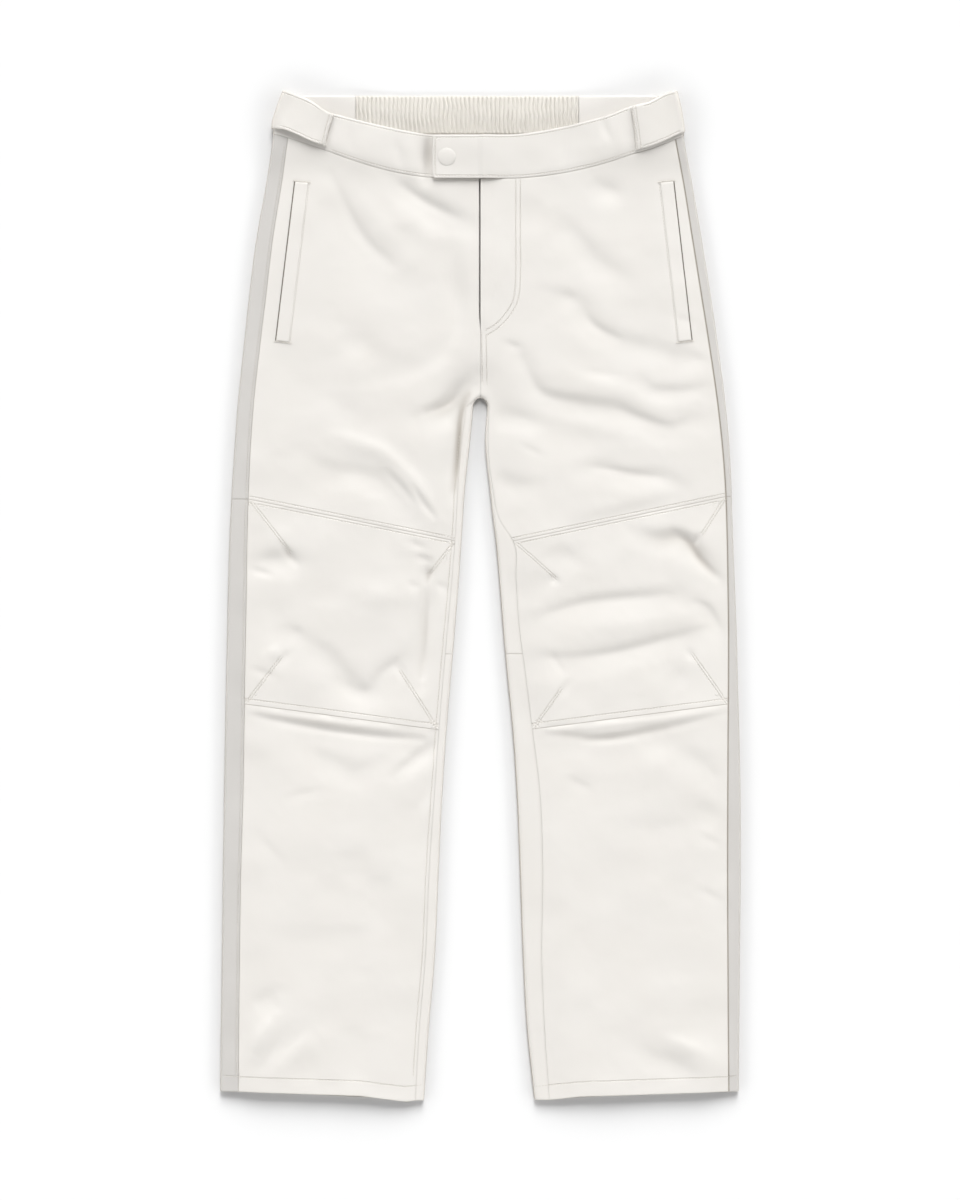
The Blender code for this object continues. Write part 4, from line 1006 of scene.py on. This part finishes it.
for side, name in SIDES:
    upper, _ = halves(150.0)
    _, lower = halves(170.0)
    split = [knee_split(side, edge) for edge in (SIDE_SEAM, INNER_SEAM)]
    out_crotch = side_rows(side, CROTCH_LINE[side])
    shifts = np.array([0.4, 1.2, 2.4, 4.0, 6.0, 8.0, 10.0])
    outs = np.concatenate((blend(50.0, out_crotch, upper), out_crotch + shifts))
    intos = np.concatenate((blend(BACK_SEAM, ARCH_TOP - 0.005, upper), ARCH_TOP + shifts))
    outs = np.concatenate((outs, blend(outs[-1], split[0] - HALF, lower[1:])))
    intos = np.concatenate((intos, blend(intos[-1], split[1] - HALF, lower[1:])))
    ends = [leg_at(side, edge, 1080.0) for edge in (SIDE_SEAM, INNER_SEAM)]
    hems = [float(hem_line(side)(across)) for across in ends]
    rows = spaced(480.0, 4.0)
    calf = [blend(split[k] + HALF, hems[k], rows) for k in (0, 1)]
    for part, place in (
        ("upper", back_places(side, outs, intos, True)),
        ("lower", back_places(side, calf[0], calf[1], False)),
    ):
        piece = lay(f"leather_back_{part}_{name}", place, leather, lines=PANEL_LINES[-2:])
        dress(piece, f"back_{part}_{name}")

# %% [markdown]
# ## Waistband and side tabs
# The band is two layers thick and goes round the waist. In front, the left half runs on past the centre as
# an extension that the snap holds down. An adjuster tab lies over the band at each side. Both turn round
# the outer fold, so their columns run along the front, round the fold and on along the back.


# %% Bands
def back_top(across):
    """The top edge of the back waist, which climbs to the peak at each side."""
    return BACK_TOP * ease((212.0 - across) / 18.0)


def slanted(side, places, share):
    """Across distances of columns that stand upright at the centre and slant with the fold near the side."""
    seam_fold = leg_at(side, OUTER_FOLD, WAIST_AT_FOLD)
    narrower = leg_at(side, OUTER_FOLD, WAIST_AT_FOLD * share) / seam_fold
    return places * blend(1.0, narrower, ease(np.abs(places) / seam_fold))


def around(side, places, edges, rows, behind):
    """Places of a band from the front (x of each column), round the outer fold and on along the back."""
    turn = FOLD_RADIUS * (1 - np.cos(np.linspace(0.0, 0.5 * np.pi, 7)))
    offsets = np.concatenate((turn[::-1], turn[1:], behind))
    share = rows[:, None]
    ahead = len(places)
    face = np.array([[FRONT] * (ahead + 6) + [BACK] * (len(offsets) - 6)])
    front_x = slanted(side, places[None, :], share)
    x = np.hstack([front_x, side * np.full((len(rows), len(offsets)), 215.0)])
    top, lower, back_upper, back_lower = edges
    for _ in range(12):
        on_front = blend(top(x), lower(x), share)
        on_back = blend(back_upper(np.abs(x)), back_lower(np.abs(x)), share)
        down = np.where(face == FRONT, on_front, on_back)
        fold = leg_at(side, OUTER_FOLD, down[:, ahead:])
        x = np.hstack([front_x, side * (fold - offsets)])
    return x, down, face


def front_edge(side, column, past_centre):
    """One edge of the front waist as a line over x, with its own level on the far side of the centre."""
    return lambda x: np.where(x * side < 0, past_centre, waist_at(side, column, np.abs(x)))


def steps(start, end, step):
    """Even places from start to end, close together at the start, where the band is cut."""
    sign = np.sign(end - start)
    even = np.arange(start + sign * NEAR_EDGE[-1], end, sign * step)
    return np.concatenate((start + sign * np.array(NEAR_EDGE[:-1]), even, [end]))


def last_column(side):
    """The last upright column of a band before it turns round the outer fold."""
    reach = float(leg_at(side, OUTER_FOLD, WAIST_AT_FOLD)) - FOLD_RADIUS
    return side * (reach - 1.0)


def lift_over(x, side):
    """How far the band stands off: the left half climbs over the right half at the extension."""
    over = ease((EXTENSION_LEVEL + EXTENSION_EASE - x) / EXTENSION_EASE) * (side == LEFT)
    return blend(BAND_LIFT, EXTENSION_LIFT, over)


def band_lift(side, x, down):
    """The band's lift, sunk towards its seam, where it is sewn down flat."""
    seam_down = waist_at(side, WAIST_SEAM, np.abs(x))
    return lift_over(x, side) - SEAM_SINK * ease(1 - (seam_down - down) / 9.0) * (x * side > 0)


def band_line(side, column, shift, start, end):
    """A line along the front band, a little off its top edge or its seam."""
    past = {BAND_TOP: EXTENSION_TOP, WAIST_SEAM: EXTENSION_BOTTOM}[column]
    places = np.linspace(start, end, 24)
    return np.column_stack((places, front_edge(side, column, past)(places) + shift))


SEAM_SINK, EDGE_ROW, CORNER = 0.45, 3.0, 4.0
BAND_LINES = {
    RIGHT: [
        (0.0, band_line(RIGHT, WAIST_SEAM, -EDGE_ROW, -160.0, EXTENSION_END - 2.0)),
        (0.0, band_line(RIGHT, BAND_TOP, EDGE_ROW, -157.0, EXTENSION_END - 2.0)),
    ],
    LEFT: [
        (0.0, band_line(LEFT, WAIST_SEAM, -EDGE_ROW, EXTENSION_END + EDGE_ROW, 165.0)),
        (0.0, band_line(LEFT, BAND_TOP, EDGE_ROW, EXTENSION_END + EDGE_ROW, 158.0)),
        (0.0, [(EXTENSION_END + EDGE_ROW, down) for down in (EXTENSION_TOP + 4, EXTENSION_BOTTOM - 4)]),
    ],
}
for side, name in SIDES:
    edges = (
        front_edge(side, BAND_TOP, EXTENSION_TOP),
        lambda x: front_edge(side, WAIST_SEAM, EXTENSION_BOTTOM)(x) - HALF,
        back_top,
        lambda across: back_seam(side, across) - HALF,
    )
    start = EXTENSION_END if side == LEFT else side * HALF
    places = steps(start, last_column(side), STEP)
    behind = steps(SIDE_SEAM_BEHIND - HALF, FOLD_RADIUS + 1.5, STEP)[::-1]
    x, down, face = around(side, places, edges, spaced(46.0, 2.0), behind)
    if side == LEFT:
        low = np.clip(CORNER - (EXTENSION_BOTTOM - down), 0.0, CORNER)
        turn = CORNER - np.sqrt(CORNER**2 - low**2)
        x = x + turn * np.clip(1 - (x - EXTENSION_END) / 16.0, 0.0, 1.0)
    lift = np.where(face == FRONT, band_lift(side, x, down), BAND_LIFT)
    place, lines = (x, down, face), BAND_LINES[side]
    band = lay(f"band_front_{name}", place, leather, BAND_WALL, lift, BAND_ROLLS, soften=0.4, lines=lines)
    dress(band, f"waistband_front_{name}")

# %% [markdown]
# The tabs lie on the band, a little inside its top edge. Their free lower edge stands off a touch, which
# gives the dark line under it.

# %% Side tabs
TAB_STAND = {RIGHT: 2.6, LEFT: 1.0}
TAB_ROW, TAB_EDGE_ROW = 5.6, 1.8


def tab_top(side, across):
    return waist_at(side, BAND_TOP, across) + TAB_INSET


def tab_lift(side, x, down):
    """The tab's lift: its lower edge stands off more and more towards the side."""
    top, foot = tab_top(side, np.abs(x)), waist_at(side, TAB_EDGE, np.abs(x))
    share = np.clip((down - top) / (foot - top), 0.0, 1.0)
    free = ease((np.abs(x) - TAB_FRONT[side]) / 16.0) * ease(edge_distance(x, down) / 12.0)
    return TAB_LIFT + TAB_STAND[side] * share**2 * free


def tab_lines(side):
    """Two rows across the tab's front end and one along each of its long edges."""
    lines = []
    for inset in (TAB_EDGE_ROW, TAB_ROW):
        ends = [float(slanted(side, np.array(TAB_FRONT[side] + inset), share)) for share in (0.0, 1.0)]
        top, foot = float(tab_top(side, ends[0])) + 1, float(waist_at(side, TAB_EDGE, ends[1])) - 1
        lines.append((0.0, [(side * ends[0], top), (side * ends[1], foot)]))
    across = np.linspace(TAB_FRONT[side] + 8, 214.0, 12)
    lines.append((0.0, np.column_stack((side * across, tab_top(side, across) + EDGE_ROW))))
    foot = waist_at(side, TAB_EDGE, across) - EDGE_ROW
    lines.append((0.0, np.column_stack((side * across, foot))))
    return lines


for side, name in SIDES:
    edges = (
        lambda x: tab_top(side, np.abs(x)),
        front_edge(side, TAB_EDGE, 0.0),
        lambda across: back_top(across) + TAB_INSET,
        lambda across: blend(TAB_BACK_EDGE, WAISTS[side][-1, TAB_EDGE], to_side(across)),
    )
    places = steps(side * TAB_FRONT[side], last_column(side), 2.0)
    behind = steps(TAB_BEHIND, FOLD_RADIUS + 1.5, STEP)[::-1]
    rows = spaced(40.0, 2.0)
    x, down, face = around(side, places, edges, rows, behind)
    lift = np.where(face == FRONT, tab_lift(side, x, down), TAB_LIFT)
    place, lines = (x, down, face), tab_lines(side)
    tab = lay(f"tab_{name}", place, tabs, TAB_WALL, lift, BAND_ROLLS, soften=0.3, lines=lines)
    dress(tab, f"side_tab_{name}")

# %% [markdown]
# ## Back waist
# Between the side seams the back of the waist is plain leather, then a stretch gathered on elastic. From
# above we look at its inner face, so these sheets face inwards. The gathers are small upright ruffles,
# about 4.6 mm apart, each a little different in height and lean.

# %% Plain back band
for side, name in SIDES:
    share = spaced(75.0)[None, :]
    rows = spaced(41.0, 2.0)[:, None]
    across = blend(200.0, ELASTIC_ENDS[side], share) * np.ones(rows.shape)
    for _ in range(12):
        down = blend(back_top(across), back_seam(side, across) - HALF, rows)
        start = leg_at(side, OUTER_FOLD, down) - SIDE_SEAM_BEHIND - HALF
        across = blend(start, ELASTIC_ENDS[side] + HALF, share)
    place, lift = (side * across, down, BACK), BAND_WALL - BAND_LIFT
    # The band's inner face takes the lighter copy of the leather: painted light against the shade it lies
    # in.
    band = lay(f"band_back_{name}", place, lightened_band_leather, BAND_WALL, lift, BAND_ROLLS, inside=True, soften=0.4)
    dress(band, f"waistband_back_{name}")

# %% Gathered elastic
COLUMNS_PER_GATHER = 10
share = np.linspace(0.0, 1.0, GATHERS * COLUMNS_PER_GATHER + 1)[None, :]
x = blend(-ELASTIC_ENDS[RIGHT] + HALF, ELASTIC_ENDS[LEFT] - HALF, share)
down = blend(BACK_TOP, BACK_SEAM - HALF, spaced(41.0, 2.0))[:, None]
sway = 0.5 * soft_noise(x, 3.0 * down, 30.0, 11) + 0.25 * soft_noise(x, 2.0 * down, 9.0, 12)
wave = np.cos(2 * np.pi * (x - x[0, 0] + 1.6 * sway) / ((x[0, -1] - x[0, 0]) / GATHERS))
height = 1 + 0.35 * soft_noise(x, down, 6.0, 13)
full = ease((down - BACK_TOP) / 4.0) * blend(0.55, 1.0, ease((BACK_SEAM - down) / 6.0))
ruffle = 0.5 * GATHER_DEPTH * height * full * np.sign(wave) * np.abs(wave) ** 0.7
place, lift = (x, down, BACK), BAND_WALL - 0.4 + ruffle
elastic = lay("band_elastic", place, gathered, 1.4, lift, BAND_ROLLS, inside=True, soften=0.3)
dress(elastic, "waistband_back_elastic")

# %% [markdown]
# ## Pocket welts
# Each front pocket has a single welt, a narrow double strip whose outer edge is the pocket's mouth. Beside
# it lies a thin near-black strip of painted shadow, the shade inside the mouth.

# %% Pocket welts
# Painted shadow: a thin near-black strip along the welt's outer edge, where the pocket's mouth is in shade.
MOUTH_WIDTH, MOUTH_WALL, MOUTH_LIFT, MOUTH_ROLLS = 1.2, 0.3, 0.2, (0.2, 0.2, 0.0, 0.0)
shade, _, _ = flecked("pocket_shade", 600.0, (0.11, 0.10, 0.085), (0.20, 0.18, 0.155), 0.9)


def welt_places(side, along, aside):
    """Places beside a welt's line: along it from its top, and aside from its middle towards the centre."""
    (top, top_down), (foot, foot_down) = WELT_LINE[side]
    length = np.hypot(foot - top, foot_down - top_down)
    run = np.array([(foot - top) / length, (foot_down - top_down) / length])
    across = top + run[0] * along - run[1] * aside
    return side * across, top_down + run[1] * along + run[0] * aside


WELT_LENGTH = 172.7
for side, name in SIDES:
    along = WELT_LENGTH * spaced(WELT_LENGTH)[:, None]
    aside = WELT_WIDTH * (spaced(WELT_WIDTH, 2.0) - 0.5)[None, :]
    x, down = welt_places(side, along, aside)
    welt = lay(f"welt_{name}", (x, down, FRONT), leather, WELT_WALL, WELT_LIFT, BAND_ROLLS, soften=0.2)
    # The pocket's mouth as painted shadow: a near-black strip just outside the welt.
    x, down = welt_places(side, along, -0.5 * WELT_WIDTH - MOUTH_WIDTH * np.linspace(0.1, 1.0, 3)[None, :])
    mouth = lay(f"pocket_painted_shadow_{name}", (x, down, FRONT), shade, MOUTH_WALL, MOUTH_LIFT, MOUTH_ROLLS)
    dress(welt, f"pocket_welt_{name}")
    dress(mouth)

# %% [markdown]
# ## Snap
# The snap's cap is a shallow steel dome covered with the same leather. It starts as a sphere, whose upper
# half is flattened to a cap and laid on the band.

# %% Snap cap
bpy.ops.object.select_all(action="DESELECT")
bpy.ops.mesh.primitive_uv_sphere_add(segments=48, ring_count=32, radius=SNAP_RADIUS * MM, location=(0, 0, 0))
cap = bpy.context.object
cap.name = cap.data.name = "snap_cap"
dome = places_of(cap.data) / (SNAP_RADIUS * MM)
radius = np.hypot(dome[:, 0], dome[:, 1])
profile = np.where(dome[:, 2] > 0, (1 - np.minimum(radius, 1.0) ** 2.6) ** 0.8, 0.0)
x = SNAP_ACROSS + SNAP_RADIUS * dome[:, 0]
down = SNAP_DOWN - SNAP_RADIUS * dome[:, 1]
points, normals = surface(x, down, FRONT)
lift = EXTENSION_LIFT + SEAM_GAP + SNAP_HEIGHT * profile
cap.data.vertices.foreach_set("co", ((points + normals * lift[:, None]) * MM).ravel())
cap.data.update()
bpy.ops.object.mode_set(mode="EDIT")
bpy.ops.mesh.select_all(action="SELECT")
bpy.ops.mesh.remove_doubles(threshold=0.00001)
bpy.ops.mesh.normals_make_consistent(inside=False)
bpy.ops.object.mode_set(mode="OBJECT")
bpy.ops.object.shade_smooth_by_angle(angle=np.radians(60))
cap.data.materials.append(leather)
dress(cap, "snap_button")
print("snap cap", len(cap.data.polygons), "faces")

# %% [markdown]
# ## Thread
# Every row of topstitching is real thread. One stitch is modelled from a small sphere, drawn out and bent
# down at its ends, and its copies are laid end to end along the sewn lines, each turned to the leather
# there.

# %% One stitch
STITCH_PITCH, STITCH_LENGTH, STITCH_WIDTH, STITCH_HEIGHT = 3.3, 2.7, 0.62, 0.42
bpy.ops.object.select_all(action="DESELECT")
bpy.ops.mesh.primitive_uv_sphere_add(segments=6, ring_count=5, radius=0.5)
model = bpy.context.object
stitch = places_of(model.data)[:, [2, 1, 0]]
stitch *= (STITCH_LENGTH, STITCH_WIDTH, -STITCH_HEIGHT)
stitch[:, 2] -= 0.5 * STITCH_HEIGHT * (2 * stitch[:, 0] / STITCH_LENGTH) ** 2
stitch_faces = [tuple(polygon.vertices) for polygon in model.data.polygons]
bpy.data.objects.remove(model, do_unlink=True)

thread, cotton, fibres = flecked("cream_thread", 1400.0, (0.50, 0.47, 0.42), (0.69, 0.66, 0.61), 0.6)
fibres.bump(0.5, GRAIN_DEPTH).feed(cotton, "Normal")
print("one stitch has", len(stitch_faces), "faces")


# %% Rows of stitches
def sew(name, rows, lift):
    """Lays stitches along rows, each given by half a double row's distance, its places and its pitch."""
    laid = []
    for half_gap, places, pitch in rows:
        places = np.array(places, dtype=float)
        parts = places[1:] - places[:-1]
        lengths = np.hypot(*parts.T)
        ends = np.concatenate(([0.0], np.cumsum(lengths)))
        at = np.arange(0.5 * pitch, ends[-1], pitch)
        middle = np.column_stack([np.interp(at, ends, places[:, k]) for k in (0, 1)])
        run = (parts / lengths[:, None])[np.clip(np.searchsorted(ends, at) - 1, 0, len(lengths) - 1)]
        for offset in (-half_gap, half_gap) if half_gap else (0.0,):
            spot = middle + offset * np.stack((-run[:, 1], run[:, 0]), axis=1)
            base, up = surface(*spot.T, FRONT)
            along = surface(*(spot + run).T, FRONT)[0] - base
            along /= np.linalg.norm(along, axis=1, keepdims=True)
            axes = np.stack((along * min(1.0, pitch / STITCH_PITCH), np.cross(up, along), up), axis=1)
            base = base + up * np.asarray(lift(*spot.T) + THREAD_LIFT)[..., None]
            laid.append(base[:, None, :] + np.einsum("vk,skc->svc", stitch, axes))
    points = np.concatenate(laid)
    starts = (np.arange(len(points)) * len(stitch)).tolist()
    faces = [tuple(k + start for k in face) for start in starts for face in stitch_faces]
    mesh = bpy.data.meshes.new(name)
    mesh.from_pydata((points.reshape(-1, 3) * MM).tolist(), [], faces)
    mesh.shade_smooth()
    mesh.materials.append(thread)
    piece = bpy.data.objects.new(name, mesh)
    bpy.context.scene.collection.objects.link(piece)
    dress(piece)
    print(name, len(points), "stitches,", len(faces), "faces")


def paced(lines, pitch=STITCH_PITCH):
    return [(half_gap, places, pitch) for half_gap, places in lines]


THREAD_LIFT = 0.08
sew("stitches_panels", paced(PANEL_LINES), lambda x, down: 0.0)
for side, name in SIDES:
    sew(f"stitches_band_{name}", paced(BAND_LINES[side]), lambda x, down: band_lift(side, x, down))
    sew(f"stitches_tab_{name}", paced(tab_lines(side)), lambda x, down: tab_lift(side, x, down))
    edge = 0.5 * WELT_WIDTH
    beside = [(0.0, [welt_places(side, along, edge + 1.4) for along in (0.0, WELT_LENGTH)])]
    tacks = []
    for along in (-0.8, WELT_LENGTH + 0.8):
        tacks.append((0.35, [welt_places(side, along, aside) for aside in (-edge - 2.4, edge + 2.4)]))
    sew(f"stitches_pocket_{name}", paced(beside), lambda x, down: 0.0)
    sew(f"bar_tacks_{name}", paced(tacks, 1.5), lambda x, down: 0.5)

# %% [markdown]
# ## Sheets of leather
# Each piece has a size that it is cut to before sewing. A row gives the right piece's width, the left one's,
# their length and how much of that the leather fills. The loop below looks each piece up and works out its
# area, and does nothing more with them.

CUT = {
    "leather_thigh": (0.250, 0.250, 0.415, 0.88),
    "leather_knee": (0.228, 0.228, 0.215, 0.98),
    "leather_shin": (0.212, 0.212, 0.410, 0.96),
    "stripe_upper": (0.040, 0.040, 0.390, 1.0),
    "stripe_lower": (0.040, 0.040, 0.640, 1.0),
    "leather_back_upper": (0.245, 0.245, 0.545, 0.94),
    "leather_back_lower": (0.225, 0.225, 0.480, 1.0),
    "band_front": (0.250, 0.315, 0.046, 1.0),
    "tab": (0.122, 0.127, 0.042, 1.0),
    "band_back": (0.070, 0.095, 0.041, 1.0),
    "welt": (0.014, 0.014, 0.172, 1.0),
}
for part, (*widths, length, share) in CUT.items():
    for (_, name), width in zip(SIDES, widths):
        piece, area = bpy.data.objects[f"{part}_{name}"], share * width * length

# %% [markdown]
# ## Floor, light and camera
# The pants lie on a white table under soft light that comes mostly from beyond the waist, so creases are
# shaded on their lower side. A ring of light low round the table leaves a soft shadow beside the legs. The
# camera looks straight down through a long lens.

# %% Floor
bpy.ops.object.select_all(action="DESELECT")
bpy.ops.mesh.primitive_plane_add(size=12.0, location=(0, 0, 0))
floor = bpy.context.object
floor.name = "floor"
white, paint, _ = new_material("white_table")
for name, value in (("Base Color", (0.8, 0.8, 0.8, 1.0)), ("Roughness", 1.0), ("Specular IOR Level", 0.0)):
    paint.inputs[name].default_value = value
floor.data.materials.append(white)

# %% Light
RING_SINE, RING_SPREAD, RING_LIGHT, OPEN_LIGHT = 0.3, 0.12, 5.0, 0.06
world = bpy.data.worlds.new("studio")
bpy.context.scene.world = world
world.use_nodes = True
sky = Shade(world.node_tree)
upward = sky.node("SeparateXYZ", {}, {"Vector": sky.node("TexCoord", {}, {}, "Generated")}, "Z")
off = (upward - RING_SINE) / RING_SPREAD
ring = sky.maths("EXPONENT", 0.0 - off * off)
background = world.node_tree.nodes["Background"]
background.inputs["Color"].default_value = (1.0, 1.0, 1.0, 1.0)
world.node_tree.links.new((ring * RING_LIGHT + OPEN_LIGHT).socket, background.inputs["Strength"])


def window_light(name, height, turn, spread, power):
    """Light from a far window, its height over the table and its turn from the waist in degrees."""
    bpy.ops.object.light_add(type="SUN", location=(0.5, 2.0, 1.8))
    lamp = bpy.context.object
    lamp.name = name
    lamp.data.angle = np.radians(spread)
    lamp.data.energy = power
    lamp.rotation_euler = (np.radians(90 - height), 0.0, np.radians(180 - turn))
    print(name, "adds", round(power * float(np.sin(np.radians(height))) / np.pi, 2), "of full light")


window_light("high_window", 38, 8, 24, 1.9)
window_light("low_window", 20, 2, 26, 1.8)

# %% Camera
LENS_WIDTH = 36.0
FRAME_HEIGHT = 1.2936
CAMERA_HEIGHT, SEEN_HEIGHT = 4.0, 0.009
CAMERA_X, CAMERA_Y = -0.0005, -0.0049
bpy.ops.object.camera_add(location=(CAMERA_X, CAMERA_Y, CAMERA_HEIGHT), rotation=(0, 0, 0))
camera = bpy.context.object
camera.name = "overhead_camera"
camera.data.sensor_fit = "VERTICAL"
camera.data.sensor_height = LENS_WIDTH
camera.data.lens = LENS_WIDTH * (CAMERA_HEIGHT - SEEN_HEIGHT) / FRAME_HEIGHT
camera.data.clip_end = 50.0
bpy.context.scene.camera = camera
bpy.context.scene.view_settings.view_transform = "Standard"
bpy.context.scene.view_settings.look = "None"
print("lens", round(camera.data.lens, 1), "mm")
